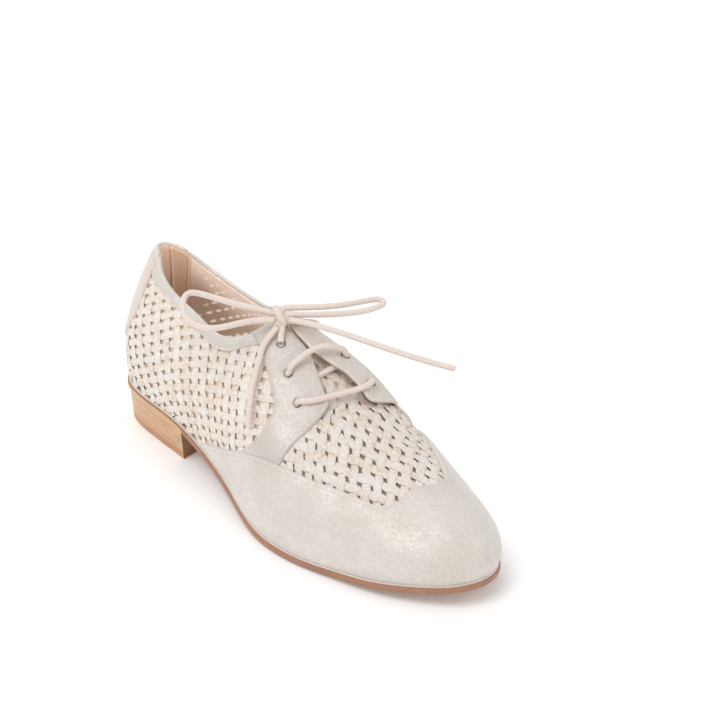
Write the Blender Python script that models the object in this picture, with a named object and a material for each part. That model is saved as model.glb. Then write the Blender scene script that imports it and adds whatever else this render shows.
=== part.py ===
# The woven blucher: a right shoe built over one last and cut into the maker's pieces.
# Sizes are in millimetres. X runs to the toe, Y to the inner (medial) side, Z up.
import bpy
import bmesh
import numpy as np
from math import pi
from mathutils import Matrix, Vector
from mathutils.geometry import delaunay_2d_cdt

MM = 0.001
MIDDLE = (130.01, 0.38)      # shoe centre in plan, moved to the origin

SOLE_THICK = 3.7           # outsole leather
SEAM_GAP = 0.3             # air between touching pieces
HEEL_RISE = 16.6           # underside of the sole at the heel seat
TOE_SPRING = 8.0           # underside of the sole at the toe tip
SEAT_END = 52.0            # the seat is level back to here
FLAT_BACK = 162.0          # the tread lies on the floor from here
FLAT_FRONT = 180.0         # to here
TOE_TIP = 262.0
SOLE_MARGIN = 0.8          # sole edge outside the feather line
EDGE_CHAMFER = 0.8
BREAST = 69.0              # front face of the heel block
BREAST_HOLLOW = 4.5        # how far that face curves in
HEEL_TAPER = 1.2
INSOLE_INSET = 3.4
INSOLE_THICK = 2.2

WALL = 1.8                 # woven wall with its lining
STRIP_RISE = 0.65          # strip crossings above the wall
STRIP_SIDE = 0.2           # between two crossings
STRIP_DIP = -0.3           # closed corner between four crossings
LEATHER = 1.2              # overlay thickness
OVER = 0.5                 # overlay above the wall
FACING_LIFT = 0.45         # the inner facing stands a little proud
COLLAR_LIFT = 0.2          # and so do the collar bands
TONGUE_THICK = 1.4
TONGUE_GAP = 0.8           # tongue below the wall
GIRTH = 75.0               # scale of the flat pattern across the foot
GAP_REACH = 0.17           # half size of a cut gap, in strip steps
EYELET = 1.9               # hole radius in a facing
LACE = 1.5                 # lace radius
KNOT_RADIUS = 2.0
LACE_CLEAR = 0.4           # lace above the facings
RIM_CLEAR = 2.6            # points of a face stay this far inside its edges
TOE_POINTS = 6.8           # spacing of points on the toe

LAST_COLUMNS = ("x", "lateral", "medial", "crown", "ridge", "full", "pinch", "swell_l", "swell_m")
LAST_ROWS = np.array([
    (0.0, 0.0, 0.0, 104.0, 0.0, 2.0, 0.50, 2.5, 2.5),
    (4.0, -12.0, 12.0, 104.0, -0.8, 2.0, 0.83, 2.5, 2.5),
    (16.0, -24.0, 24.0, 104.0, -1.5, 2.0, 1.06, 2.5, 2.5),
    (40.0, -28.3, 27.9, 103.0, -0.5, 2.0, 1.04, 2.5, 2.5),
    (75.0, -29.8, 26.6, 100.5, 1.4, 2.0, 1.22, 3.0, 4.0),
    (115.0, -35.0, 23.6, 86.0, 6.0, 2.0, 0.50, 3.0, 6.0),
    (150.0, -43.3, 39.8, 69.5, 12.0, 2.0, 0.50, 2.0, 4.0),
    (180.0, -43.4, 44.7, 54.6, 9.0, 2.0, 0.50, 1.5, 2.0),
    (205.0, -37.0, 40.8, 46.5, 7.8, 2.0, 0.50, 1.0, 1.5),
    (228.0, -29.5, 34.4, 39.7, 7.8, 2.2, 0.50, 1.0, 1.5),
    (246.0, -19.0, 27.0, 34.2, 8.0, 2.4, 0.50, 1.0, 1.0),
    (257.5, -8.8, 17.3, 25.3, 7.0, 2.4, 0.50, 0.5, 0.5),
    (262.0, 4.8, 4.8, 14.0, 4.8, 2.4, 0.50, 0.0, 0.0)])
TIP = len(LAST_ROWS) - 1

# Back curve of the heel: forward shift at even heights.
BACK_LOW = 20.0
BACK_STEP = 16.0
BACK_SHIFT = (0.0, -2.0, 1.5, 5.4, 10.2, 13.5, 13.8)

# Topline: row of the last, share of the wall kept on each side.
TOP_COLUMNS = ("row", "lateral", "medial")
TOP_ROWS = np.array([
    (0.0, 0.813, 0.813), (1.0, 0.812, 0.795), (1.8, 0.797, 0.765), (2.4, 0.731, 0.684),
    (3.1, 0.671, 0.631), (3.8, 0.634, 0.658), (4.2, 0.638, 0.732), (4.5, 0.702, 0.845),
    (4.75, 0.790, 0.900)])

# Pattern lines on the last: row, position from -1 (lateral edge) over 0 (ridge) to 1.
LACE_EDGE_L = ((4.86, -0.135), (4.97, -0.085), (5.13, -0.078), (5.4, -0.080), (5.62, -0.099),
               (5.95, -0.149), (6.28, -0.186))
LACE_EDGE_M = ((4.86, 0.060), (4.97, -0.025), (5.16, -0.056), (5.34, -0.063), (5.53, -0.072),
               (5.64, -0.064), (5.83, -0.046), (5.98, -0.018), (6.15, -0.004), (6.32, 0.008), (6.5, 0.015))
FACING_FRONT_L = ((6.37, -0.300), (6.34, -0.420), (6.31, -0.52), (6.32, -0.568))
FACING_FRONT_M = ((6.56, 0.045), (6.58, 0.125), (6.52, 0.240), (6.46, 0.400), (6.42, 0.545))
FACING_BACK_L = ((5.58, -0.665), (5.72, -0.60), (5.77, -0.532), (5.75, -0.42), (5.55, -0.356),
                 (5.30, -0.292), (4.98, -0.227))
FACING_BACK_M = ((5.58, 0.660), (5.72, 0.58), (5.75, 0.48), (5.70, 0.36), (5.52, 0.262),
                 (5.27, 0.19), (4.98, 0.140))
COLLAR_LOW_L = ((2.10, -0.313), (2.37, -0.336), (2.98, -0.368), (3.36, -0.400), (3.77, -0.428),
                (4.11, -0.432), (4.35, -0.418), (4.59, -0.363), (4.74, -0.302), (4.90, -0.248))
COLLAR_LOW_M = ((2.15, 0.355), (2.5, 0.405), (3.1, 0.452), (3.6, 0.440), (4.0, 0.390),
                (4.3, 0.318), (4.55, 0.240), (4.76, 0.190), (4.90, 0.162))
WING_L = ((4.30, -1.0), (4.55, -0.91), (4.95, -0.817), (5.54, -0.695), (6.14, -0.612),
          (6.77, -0.552), (7.5, -0.484), (8.1, -0.450), (8.42, -0.415), (8.62, -0.320),
          (8.63, -0.220), (8.53, -0.150))
WING_M = ((8.53, -0.130), (8.64, -0.060), (8.70, 0.060), (8.62, 0.150), (8.45, 0.215),
          (8.0, 0.300), (7.5, 0.385), (6.9, 0.490), (6.3, 0.590), (5.54, 0.700), (4.95, 0.815),
          (4.55, 0.91), (4.30, 1.0))
STRAP_COLUMNS = ("share", "half_row")
STRAP_ROWS = ((0.0, 0.85), (0.1, 1.0), (0.2, 1.35), (0.3, 1.80), (0.42, 2.08), (0.53, 2.14), (0.66, 2.02),
              (0.785, 1.88))
THROAT_END = 5.72          # row where the slit between the facings ends
EYELETS_L = ((5.97, -0.311), (5.59, -0.243), (5.23, -0.159))
EYELETS_M = ((6.19, 0.130), (5.73, 0.080), (5.24, 0.048))
TONGUE_EDGE = ((4.80, -0.16), (5.2, -0.22), (5.7, -0.28), (6.2, -0.25), (6.33, -0.12),
               (6.33, 0.10), (6.2, 0.22), (5.7, 0.22), (5.2, 0.17), (4.80, 0.12), (4.76, -0.02))

# Lace routes: knot, loops and the free end in the air, the other end on the wall.
KNOT = ((112.9, -2.5, 93.0), (116.5, -3.0, 90.3), (120.3, -3.5, 87.1))
LOOP_LEFT = ((113.3, -5.7, 91.8), (100.0, -14.6, 93.0), (83.3, -19.3, 92.0), (70.1, -23.1, 90.0),
             (77.2, -32.0, 89.0), (92.4, -38.3, 88.0), (104.7, -32.4, 88.0), (110.4, -19.0, 89.4),
             (116.4, -6.3, 89.4))
LOOP_RIGHT = ((114.9, 0.4, 93.2), (125.0, 14.5, 93.4), (130.8, 30.0, 93.0), (131.5, 42.8, 92.0),
              (135.7, 43.8, 91.5), (137.7, 39.3, 91.0), (136.3, 29.2, 91.0), (129.6, 14.6, 91.2),
              (117.9, 0.0, 90.8))
END_RIGHT = ((121.0, -0.6, 89.4), (131.0, 4.6, 89.6), (144.2, 12.6, 88.0), (160.0, 23.8, 84.0),
             (175.7, 35.6, 80.0))
END_LEFT_TOP = (119.6, -7.0, 87.0)
END_LEFT = ((5.10, -0.200), (5.14, -0.245), (5.22, -0.305), (5.32, -0.397), (5.44, -0.473),
            (5.57, -0.554))

# Weave: start point and the two strip steps, along the foot and across it.
QUARTER_START = (67.4, 29.0)
QUARTER_STEPS = ((6.7, 3.8), (2.4, -4.6))
QUARTER_EVERY = (2, 3)     # the small quarter gaps are cut at every second and third step
VAMP_START = (183.5, -20.0)
VAMP_STEPS = ((6.1, 2.9), (-1.3, -7.6))

PALETTE = {
    "weave": (0.80, 0.70, 0.60, 1.0), "suede": (0.62, 0.55, 0.49, 1.0),
    "strap_suede": (0.68, 0.57, 0.51, 1.0), "sole_leather": (0.42, 0.23, 0.13, 1.0),
    "stacked_heel": (0.60, 0.36, 0.18, 1.0), "insole_leather": (0.60, 0.42, 0.29, 1.0),
    "lace_cotton": (0.80, 0.63, 0.55, 1.0)}


def spline(values, closed=False):
    y = np.asarray(values, float)
    n = len(y)
    m = np.zeros((n, n))
    r = np.zeros_like(y)
    for i in range(n):
        if closed or 0 < i < n - 1:
            m[i, (i - 1) % n] += 1.0
            m[i, i] += 4.0
            m[i, (i + 1) % n] += 1.0
            r[i] = 6.0 * (y[(i - 1) % n] - 2.0 * y[i] + y[(i + 1) % n])
        else:
            m[i, i] = 1.0
    c = np.linalg.solve(m, r)

    def read(t):
        t = np.asarray(t, float)
        i = np.floor(t).astype(int)
        if not closed:
            i = np.clip(i, 0, n - 2)
        f = t - i
        if y.ndim > 1:
            f = f[..., None]
        g = 1.0 - f
        a = i % n
        b = (i + 1) % n
        return g * y[a] + f * y[b] + ((g ** 3 - g) * c[a] + (f ** 3 - f) * c[b]) / 6.0
    return read


def pick(table, columns, *names):
    return np.asarray(table)[:, [columns.index(n) for n in names]]


lateral_edge = pick(LAST_ROWS, LAST_COLUMNS, "x", "lateral")
medial_edge = pick(LAST_ROWS, LAST_COLUMNS, "x", "medial")
outline = spline(np.vstack([lateral_edge, medial_edge[-2:0:-1]]), True)
shape = spline(pick(LAST_ROWS, LAST_COLUMNS, *LAST_COLUMNS[3:]))
back_curve = spline(BACK_SHIFT)
top_share = spline(pick(TOP_ROWS, TOP_COLUMNS, "lateral", "medial"))


def rise(x):
    back = np.clip((FLAT_BACK - x) / (FLAT_BACK - SEAT_END), 0.0, 1.0)
    front = np.clip((x - FLAT_FRONT) / (TOE_TIP - FLAT_FRONT), 0.0, 1.0)
    return HEEL_RISE * back * back * (3.0 - 2.0 * back) + TOE_SPRING * front ** 1.8


def section(row, turn, side):
    row, turn, side = np.broadcast_arrays(np.asarray(row, float), np.asarray(turn, float), side)
    low = outline(row)
    high = outline(2 * TIP - row)
    crown, ridge, full, pinch, swell_l, swell_m = np.moveaxis(shape(row), -1, 0)
    x = low[..., 0]
    edge = np.where(side < 0, low[..., 1], high[..., 1])
    swell = np.where(side < 0, swell_l, swell_m)
    foot = SOLE_THICK + SEAM_GAP + rise(x)
    up = np.sin(turn) ** (2.0 / full)
    z = foot + (crown - foot) * up
    ends = np.sin(np.clip(np.minimum(row, TIP - row) / 1.5, 0.0, 1.0) * pi / 2)
    y = ridge + (edge - ridge) * np.clip(np.cos(turn), 0.0, 1.0) ** (2.0 * pinch)
    y = y + side * swell * np.sin(pi * np.clip(up / 0.8, 0.0, 1.0)) * ends
    shift = back_curve((np.clip(z, BACK_LOW, 116.0) - BACK_LOW) / BACK_STEP)
    x = x + shift * np.clip(1.0 - x / 85.0, 0.0, 1.0) ** 1.5
    return np.stack([x, y, z], -1)


TURNS = np.linspace(0.0, pi / 2, 41)
ROWS_FINE = np.linspace(0.0, TIP, 241)


def lengths(points):
    step = np.linalg.norm(np.diff(points, axis=-2), axis=-1)
    return np.concatenate([np.zeros(step.shape[:-1] + (1,)), np.cumsum(step, -1)], -1)


WALK = lengths(section(ROWS_FINE, 0.0, -1))
WALL_LENGTH = {s: lengths(section(ROWS_FINE[:, None], TURNS, s))[:, -1] for s in (-1, 1)}
STATION = outline(ROWS_FINE)[:, 0]


def walk(row):
    return np.interp(row, ROWS_FINE, WALK)


def row_at(x):
    return np.interp(x, STATION, ROWS_FINE)


def wall_length(row, side):
    return np.interp(row, ROWS_FINE, WALL_LENGTH[side])


def lay(spots, off):
    # Points of the flat pattern laid on the last, off millimetres outside the wall.
    row = np.clip(spots[:, 0], 0.0, TIP)
    side = np.where(spots[:, 1] < 0, -1, 1)
    share = 1.0 - np.abs(spots[:, 1])
    run = lengths(section(row[:, None], TURNS, side[:, None]))
    turn = np.array([np.interp(s * r[-1], r, TURNS) for s, r in zip(share, run)])
    base = section(row, turn, side)
    inner = np.clip(turn, 0.03, pi / 2 - 0.03)
    ahead = section(np.minimum(row + 0.02, TIP), inner, side)
    along = ahead - section(np.maximum(row - 0.02, 0.0), inner, side)
    around = section(row, inner + 0.02, side) - section(row, inner - 0.02, side)
    normal = np.cross(along, around) * -side[:, None]
    ends = (row < 1e-6) | (row > TIP - 1e-6)
    normal[ends, 1] = 0.0
    normal /= np.linalg.norm(normal, axis=1)[:, None]
    return base + normal * np.broadcast_to(off, (len(row),))[:, None]


def flat(spots):
    return np.column_stack([walk(spots[:, 0]), spots[:, 1] * GIRTH])


def strap_flat(spots):
    return np.column_stack([np.sign(spots[:, 0]) * walk(np.abs(spots[:, 0])), spots[:, 1] * GIRTH])


def strap_lay(spots, off):
    side = np.where(spots[:, 0] < 0, -1.0, 1.0)
    return lay(np.column_stack([np.abs(spots[:, 0]), side * (1.0 - spots[:, 1])]), off)


def inside(points, loop):
    px, py = points[:, 0][:, None], points[:, 1][:, None]
    ax, ay = loop[:, 0], loop[:, 1]
    bx, by = np.roll(ax, -1), np.roll(ay, -1)
    cross = (ay > py) != (by > py)
    at = ax + (py - ay) * (bx - ax) / np.where(by == ay, 1e-12, by - ay)
    return (np.sum(cross & (px < at), axis=1) % 2) == 1


def distance(points, loop):
    a = loop
    d = np.roll(loop, -1, axis=0) - a
    t = np.sum((points[:, None] - a) * d, -1) / np.maximum(np.sum(d * d, -1), 1e-12)
    near = a + np.clip(t, 0.0, 1.0)[..., None] * d
    return np.linalg.norm(points[:, None] - near, axis=-1).min(1)


def resample(points, step, to_flat=flat):
    # A smooth line through a few pattern points, cut to even steps.
    points = np.asarray(points, float)
    fine = spline(points)(np.linspace(0.0, len(points) - 1.0, 24 * len(points)))
    run = lengths(to_flat(fine))
    count = max(int(round(run[-1] / step)), 1)
    at = np.linspace(0.0, run[-1], count + 1)
    return np.column_stack([np.interp(at, run, fine[:, k]) for k in (0, 1)])


def join(*lines):
    out = []
    for line in lines:
        for p in np.asarray(line, float):
            if not out or np.abs(out[-1] - p).max() > 1e-9:
                out.append(p)
    if np.abs(out[0] - out[-1]).max() < 1e-9:
        out.pop()
    return np.array(out)


def scatter(loops, step, toe_step, margin, to_flat=flat):
    edge = [to_flat(l) for l in loops]
    low = edge[0].min(0)
    high = edge[0].max(0)
    found = []
    toe = float(walk(9.0))
    for pitch, across, left, right in ((step, step, low[0], min(toe, high[0])),
                                       (toe_step, 1.6 * toe_step, max(toe, low[0]), high[0])):
        for i, x in enumerate(np.arange(left + pitch / 3, right, pitch)):
            for y in np.arange(low[1] + across * (0.3 + 0.5 * (i % 2)), high[1], across):
                found.append((x, y))
    if not found:
        return np.zeros((0, 2))
    found = np.array(found)
    keep = inside(found, edge[0])
    for l in edge[1:]:
        keep &= ~inside(found, l)
    for l in edge:
        keep &= distance(found, l) > margin
    found = found[keep]
    row = np.interp(np.abs(found[:, 0]), WALK, ROWS_FINE) * np.where(found[:, 0] < 0, -1.0, 1.0)
    return np.column_stack([row, found[:, 1] / GIRTH])


def triangles(loops, extra):
    points = np.vstack(list(loops) + [extra]) if len(extra) else np.vstack(loops)
    edges = []
    first = 0
    for l in loops:
        edges += [(first + i, first + (i + 1) % len(l)) for i in range(len(l))]
        first += len(l)
    made = delaunay_2d_cdt([Vector(p) for p in points], edges, [], 0, 1e-7, True)
    source = [o[0] for o in made[3]]
    tris = np.array([[source[v] for v in f] for f in made[2]])
    middle = points[tris].mean(1)
    keep = inside(middle, loops[0])
    for l in loops[1:]:
        keep &= ~inside(middle, l)
    return tris[keep]


def closed_body(name, verts, faces, material, weld=0.02):
    mesh = bpy.data.meshes.new(name)
    mesh.from_pydata([tuple(v) for v in verts], [], [tuple(int(i) for i in f) for f in faces])
    work = bmesh.new()
    work.from_mesh(mesh)
    bmesh.ops.remove_doubles(work, verts=work.verts, dist=weld)
    bmesh.ops.recalc_face_normals(work, faces=work.faces)
    work.to_mesh(mesh)
    work.free()
    mesh.transform(place_shoe())
    mesh.materials.append(materials[material])
    thing = bpy.data.objects.new(name, mesh)
    shoe.objects.link(thing)
    return thing


def place_shoe():
    return Matrix.Scale(MM, 4) @ Matrix.Translation((-MIDDLE[0], -MIDDLE[1], 0.0))


def skin(name, loops, spots, raised, lows, top, bottom, material, to_flat=flat, to_last=lay):
    # A leather or woven piece: outer and inner faces over the last, joined round every edge.
    rim = np.vstack(loops)
    outer = triangles([to_flat(l) for l in loops], to_flat(spots) if len(spots) else spots)
    under = triangles([to_flat(l) for l in loops], to_flat(lows) if len(lows) else lows)
    lift = np.concatenate([np.full(len(rim), top), top + raised])
    upper_points = to_last(np.vstack([rim, spots]), lift)
    lower_points = to_last(np.vstack([rim, lows]), bottom)
    shift = len(upper_points)
    faces = [tuple(t) for t in outer] + [tuple(t[::-1] + shift) for t in under]
    first = 0
    for l in loops:
        for i in range(len(l)):
            j = (i + 1) % len(l)
            a, b = first + i, first + j
            ends = [abs(l[k][0]) < 1e-9 or l[k][0] > TIP - 1e-9 for k in (i, j)]
            if all(ends) and to_last is lay:
                continue
            faces.append((b, a, a + shift, b + shift))
        first += len(l)
    return closed_body(name, np.vstack([upper_points, lower_points]), faces, material)


def overlay(name, rim, holes, material, step=9.0, bottom=OVER, thick=LEATHER, **maps):
    loops = [rim] + holes
    spots = scatter(loops, step, TOE_POINTS, RIM_CLEAR, maps.get("to_flat", flat))
    if not maps:
        spots = with_ridge(spots, loops)
    if rim[:, 0].max() > TIP - 1e-9:
        spots = with_nose(spots)
    return skin(name, loops, spots, np.zeros(len(spots)), spots, bottom + thick, bottom, material, **maps)


def with_nose(spots):
    # A closer row of points just behind the tip keeps the nose round.
    nose = np.array([(TIP - 0.25, at) for at in np.linspace(-0.9, 0.9, 13)])
    away = np.linalg.norm(flat(spots)[:, None] - flat(nose)[None], axis=-1).min(1) > 2.0
    return np.vstack([spots[away], nose])


def with_ridge(spots, loops):
    # A line of points on the ridge keeps a piece clear of the wall where it bends most.
    line = np.column_stack([np.arange(4.8, 9.0, 0.16), np.zeros(27)])
    at = flat(line)
    keep = inside(at, flat(loops[0]))
    for l in loops:
        keep &= distance(at, flat(l)) > 1.5
    line = line[keep]
    if not len(line):
        return spots
    away = np.linalg.norm(flat(spots)[:, None] - flat(line)[None], axis=-1).min(1) > 3.0
    return np.vstack([spots[away], line])


def circle(spot, radius, count):
    row, at = spot
    side = -1 if at < 0 else 1
    long = (walk(row + 0.1) - walk(row - 0.1)) / 0.2
    angle = np.arange(count) * 2 * pi / count
    return np.column_stack([row + radius * np.cos(angle) / long,
                            at + radius * np.sin(angle) / wall_length(row, side)])


def rows_between(first, last):
    # Stations along the sole edge, closer together round the toe.
    at = [first]
    while at[-1] < last:
        step = 8.0 if at[-1] < 8.5 else 5.0
        at.append(float(np.interp(walk(at[-1]) + step, WALK, ROWS_FINE)))
    at = np.array(at)
    return first + (at - first) * (last - first) / (at[-1] - first)


def edge_line(first, last, side):
    row = rows_between(min(first, last), max(first, last))
    if first > last:
        row = row[::-1]
    return np.column_stack([row, np.full(len(row), float(side))])


def topline(side, first, last):
    row = np.linspace(first, last, 60)
    at = np.interp(row, pick(TOP_ROWS, TOP_COLUMNS, "row")[:, 0], np.arange(len(TOP_ROWS)))
    kept = top_share(at)[:, 0 if side < 0 else 1]
    return np.column_stack([row, side * (1.0 - kept)])


def cut(line, step):
    run = lengths(flat(line))
    at = np.linspace(0.0, run[-1], max(int(round(run[-1] / step)), 1) + 1)
    return np.column_stack([np.interp(at, run, line[:, k]) for k in (0, 1)])


def lattice(start, steps, count):
    grid = np.array([(i, j) for i in range(-count, count + 1) for j in range(-count, count + 1)], float)
    return grid, np.array(start) + grid @ np.array(steps)


def on_quarter(spots, side):
    row = row_at(spots[:, 0])
    return np.column_stack([row, side * (1.0 - spots[:, 1] / wall_length(row, side))])


def on_vamp(spots):
    row = row_at(spots[:, 0])
    length = np.where(spots[:, 1] < 0, wall_length(row, -1), wall_length(row, 1))
    return np.column_stack([row, spots[:, 1] / length])


def ring(rows, grow, height):
    # Sole outline pushed out by grow, lateral side then medial side, at given heights.
    both = []
    for sign in (1.0, -1.0):
        at = rows if sign > 0 else 2 * TIP - rows
        here = outline(at)
        way = outline(at + 0.01) - outline(at - 0.01)
        way /= np.linalg.norm(way, axis=1)[:, None]
        out = np.column_stack([way[:, 1], -way[:, 0]])
        spot = here + out * grow
        both.append(np.column_stack([spot, height]))
    return both


def slab(name, layers, rows, material):
    # Stacked outlines closed by level strips above and below.
    verts = []
    count = len(rows)
    for grow, height in layers:
        low, high = ring(rows, grow, height)
        verts.append(np.vstack([low, high[1:-1][::-1]]))
    size = len(verts[0])
    faces = []
    for k in range(len(layers) - 1):
        for i in range(size):
            j = (i + 1) % size
            faces.append((k * size + i, k * size + j, (k + 1) * size + j, (k + 1) * size + i))
    for base in (0, (len(layers) - 1) * size):
        for i in range(count - 1):
            quad = [base + i, base + i + 1, base + (size - i - 1) % size, base + (size - i) % size]
            faces.append(tuple(dict.fromkeys(quad)))
    return closed_body(name, np.vstack(verts), faces, material, weld=0.001)


def cord(name, points, step, radius=LACE):
    route = spline(points)(np.linspace(0.0, len(points) - 1.0, 40 * len(points)))
    run = lengths(route)
    at = np.linspace(0.0, run[-1], max(int(round(run[-1] / step)), 2) + 1)
    path = np.column_stack([np.interp(at, run, route[:, k]) for k in range(3)])
    path = (path - np.array(MIDDLE + (0.0,))) * MM
    curve = bpy.data.curves.new(name, "CURVE")
    curve.dimensions = "3D"
    curve.bevel_depth = radius * MM
    curve.bevel_resolution = 2
    curve.use_fill_caps = True
    line = curve.splines.new("POLY")
    line.points.add(len(path) - 1)
    for p, q in zip(line.points, path):
        p.co = (q[0], q[1], q[2], 1.0)
    curve.materials.append(materials["lace_cotton"])
    thing = bpy.data.objects.new(name, curve)
    shoe.objects.link(thing)
    return thing


for thing in list(bpy.data.objects):
    bpy.data.objects.remove(thing)
shoe = bpy.data.collections.new("woven_blucher")
bpy.context.scene.collection.children.link(shoe)
materials = {}
for key, colour in PALETTE.items():
    paint = bpy.data.materials.new(key)
    paint.use_nodes = True
    paint.node_tree.nodes["Principled BSDF"].inputs["Base Color"].default_value = colour
    paint.node_tree.nodes["Principled BSDF"].inputs["Roughness"].default_value = 0.7
    materials[key] = paint

# Sole, heel and insole
flat_ends = row_at(np.array([FLAT_BACK, FLAT_FRONT]))
sole_rows = np.unique(np.concatenate([rows_between(0.0, TIP), flat_ends]))
under = rise(outline(sole_rows)[:, 0])
slab("outsole", ((SOLE_MARGIN - EDGE_CHAMFER, under), (SOLE_MARGIN, under + EDGE_CHAMFER),
                 (SOLE_MARGIN, under + SOLE_THICK)), sole_rows, "sole_leather")
inner_rows = rows_between(0.35, TIP - 0.35)
inner_foot = rise(outline(inner_rows)[:, 0]) + SOLE_THICK + SEAM_GAP
slab("insole", ((-INSOLE_INSET, inner_foot), (-INSOLE_INSET, inner_foot + INSOLE_THICK)), inner_rows,
     "insole_leather")



def heel_block():
    # Outline of the seat back from a hollow breast, tapering to the floor.
    rows = np.linspace(0.0, float(row_at(BREAST)), 13)
    across = np.linspace(0.0, 1.0, 7)[1:-1, None]
    hollow = np.column_stack([-BREAST_HOLLOW * np.sin(across * pi), across * 0.0, across * 0.0])
    rims = []
    for grow in (0.3, -HEEL_TAPER):
        low, high = ring(rows, grow, rows * 0.0)
        breast = high[-1] + (low[-1] - high[-1]) * across + hollow
        rims.append(np.vstack([low[::-1], high[1:], breast]))
    top, floor = rims
    cover = np.array([(x, y) for x in (20.0, 36.0, 52.0, 58.0) for y in (-14.0, 0.0, 14.0)])
    top[:, 2] = rise(top[:, 0]) - SEAM_GAP
    inner = np.column_stack([cover, rise(cover[:, 0]) - SEAM_GAP])
    count = len(top)
    shift = count + len(cover)
    faces = [tuple(t) for t in triangles([top[:, :2]], cover)]
    faces += [(i, (i + 1) % count, (i + 1) % count + shift, i + shift) for i in range(count)]
    faces.append(tuple(range(shift, shift + count)))
    return closed_body("heel", np.vstack([top, inner, floor]), faces, "stacked_heel", weld=0.001)


heel_block()

# Pattern pieces
wing_l = resample(WING_L, 6.0)
wing_m = resample(WING_M, 6.0)
wing_end = WING_L[0][0]
cap_rim = join(edge_line(wing_end, TIP, -1), ((TIP, 0.0),), edge_line(TIP, wing_end, 1), wing_m[::-1],
               wing_l[::-1])
edge_l = resample(LACE_EDGE_L, 6.0)
edge_m = resample(LACE_EDGE_M, 6.0)


def facing(edge, front, back, wing, side):
    # Lacing edge, front edge down to the wing, along the wing, and up the back edge.
    gap = np.array((0.0, -side * 0.012))
    low = wing[(wing[:, 0] > back[0][0] + 0.1) & (wing[:, 0] < front[-1][0] - 0.1)] + gap
    low = low[::-1] if low[0, 0] < low[-1, 0] else low
    top = topline(side, 4.75, 4.75)[:1]
    return join(edge, resample(np.vstack([edge[-1:], front]), 6.0)[1:], low, resample(back, 6.0), top)


facing_l = facing(edge_l, FACING_FRONT_L, FACING_BACK_L, wing_l, -1)
facing_m = facing(edge_m, FACING_FRONT_M, FACING_BACK_M, wing_m, 1)
strap_side = resample(pick(STRAP_ROWS, STRAP_COLUMNS, "half_row", "share"), 7.0)
strap_top = np.column_stack([np.linspace(strap_side[-1, 0], -strap_side[-1, 0], 13),
                             np.full(13, strap_side[-1, 1])])
for spot in strap_top:
    at = abs(spot[0])
    spot[1] = 1.0 - abs(topline(-1 if spot[0] < 0 else 1, at, at)[0, 1])
strap_side[-1, 1] = strap_top[0, 1]
strap_low = np.column_stack([np.linspace(-strap_side[0, 0], strap_side[0, 0], 7), np.zeros(7)])
strap_rim = join(strap_low, strap_side, strap_top, (strap_side * np.array((-1.0, 1.0)))[::-1])


def collar(side):
    # From the strap to the facing, between the topline and its own lower edge.
    high = cut(topline(side, 1.99, 4.71), 5.0)
    low = resample(COLLAR_LOW_L if side < 0 else COLLAR_LOW_M, 5.0)
    return join(high, low[::-1])


# Woven upper
top_l = cut(topline(-1, 0.0, TOP_ROWS[-1, 0]), 7.0)
top_m = cut(topline(1, 0.0, TOP_ROWS[-1, 0]), 7.0)
seam = np.linspace(1.0, 1.0 - TOP_ROWS[0, 1], 10)
throat_l = edge_l[edge_l[:, 0] < THROAT_END]
throat_m = edge_m[edge_m[:, 0] < THROAT_END]
upper_rim = join(edge_line(0.0, TIP, -1), ((TIP, 0.0),), edge_line(TIP, 0.0, 1),
                 np.column_stack([seam * 0.0, seam]), top_m, throat_m, throat_l[::-1], top_l[::-1],
                 np.column_stack([seam * 0.0, -seam[::-1]]))
wall_holes = [circle(e, EYELET + 0.3, 6) for e in EYELETS_L + EYELETS_M]
covers = [flat(p) for p in (cap_rim, facing_l, facing_m, collar(-1), collar(1))]
strap_share, strap_half = np.array(STRAP_ROWS).T


def open_weave(spots, margin):
    # True where the woven wall is not under another piece.
    at = flat(spots)
    keep = inside(at, flat(upper_rim)) & (distance(at, flat(upper_rim)) > margin)
    for c in covers:
        keep &= ~inside(at, c) & (distance(at, c) > margin)
    half = np.interp(1.0 - np.abs(spots[:, 1]), strap_share, strap_half)
    return keep & (spots[:, 0] > half + 0.1)


gaps, spots, lifts = [], [], []
for start, steps, side, every in ((VAMP_START, VAMP_STEPS, 0, (1, 1)),
                                  (QUARTER_START, QUARTER_STEPS, -1, QUARTER_EVERY),
                                  (QUARTER_START, QUARTER_STEPS, 1, QUARTER_EVERY)):
    a, b = np.array(steps[0]), np.array(steps[1])

    def put(at):
        return on_quarter(at, side) if side else on_vamp(at)

    def belongs(at):
        # Quarter weave lies behind the facing, vamp weave before it and in the throat.
        if side:
            return (at[:, 0] < 5.9) & (at[:, 1] * side > 0.2) & (at[:, 0] > 0.4)
        throat = (at[:, 0] > 5.7) & (at[:, 1] > -0.2) & (at[:, 1] < 0.05)
        return (at[:, 0] > 6.2) | throat

    grid, plane = lattice(start, steps, 22)
    corners = [put(plane + GAP_REACH * d) for d in (a, b, -a, -b)]
    clear = np.all([open_weave(c, 1.2) & belongs(c) for c in corners], axis=0)
    holed = clear & (grid[:, 0] % every[0] == 0) & (grid[:, 1] % every[1] == 0)
    for k in np.nonzero(holed)[0]:
        gaps.append(np.array([c[k] for c in corners])[::-1])
    for move, lift in ((a * 0.0, STRIP_DIP), ((a + b) / 2, STRIP_RISE), (a / 2, STRIP_SIDE),
                       (b / 2, STRIP_SIDE)):
        here = put(plane + move)
        good = open_weave(here, 1.6) & belongs(here)
        if lift == STRIP_DIP:
            good &= ~holed
        spots.append(here[good])
        lifts.append(np.full(good.sum(), lift))
spots = np.vstack(spots)
lifts = np.concatenate(lifts)
loops = [upper_rim] + wall_holes + gaps
plain = scatter([upper_rim] + wall_holes, 12.0, 8.0, RIM_CLEAR)
to_weave = np.linalg.norm(flat(plain)[:, None] - flat(spots)[None], axis=-1).min(1)
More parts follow.
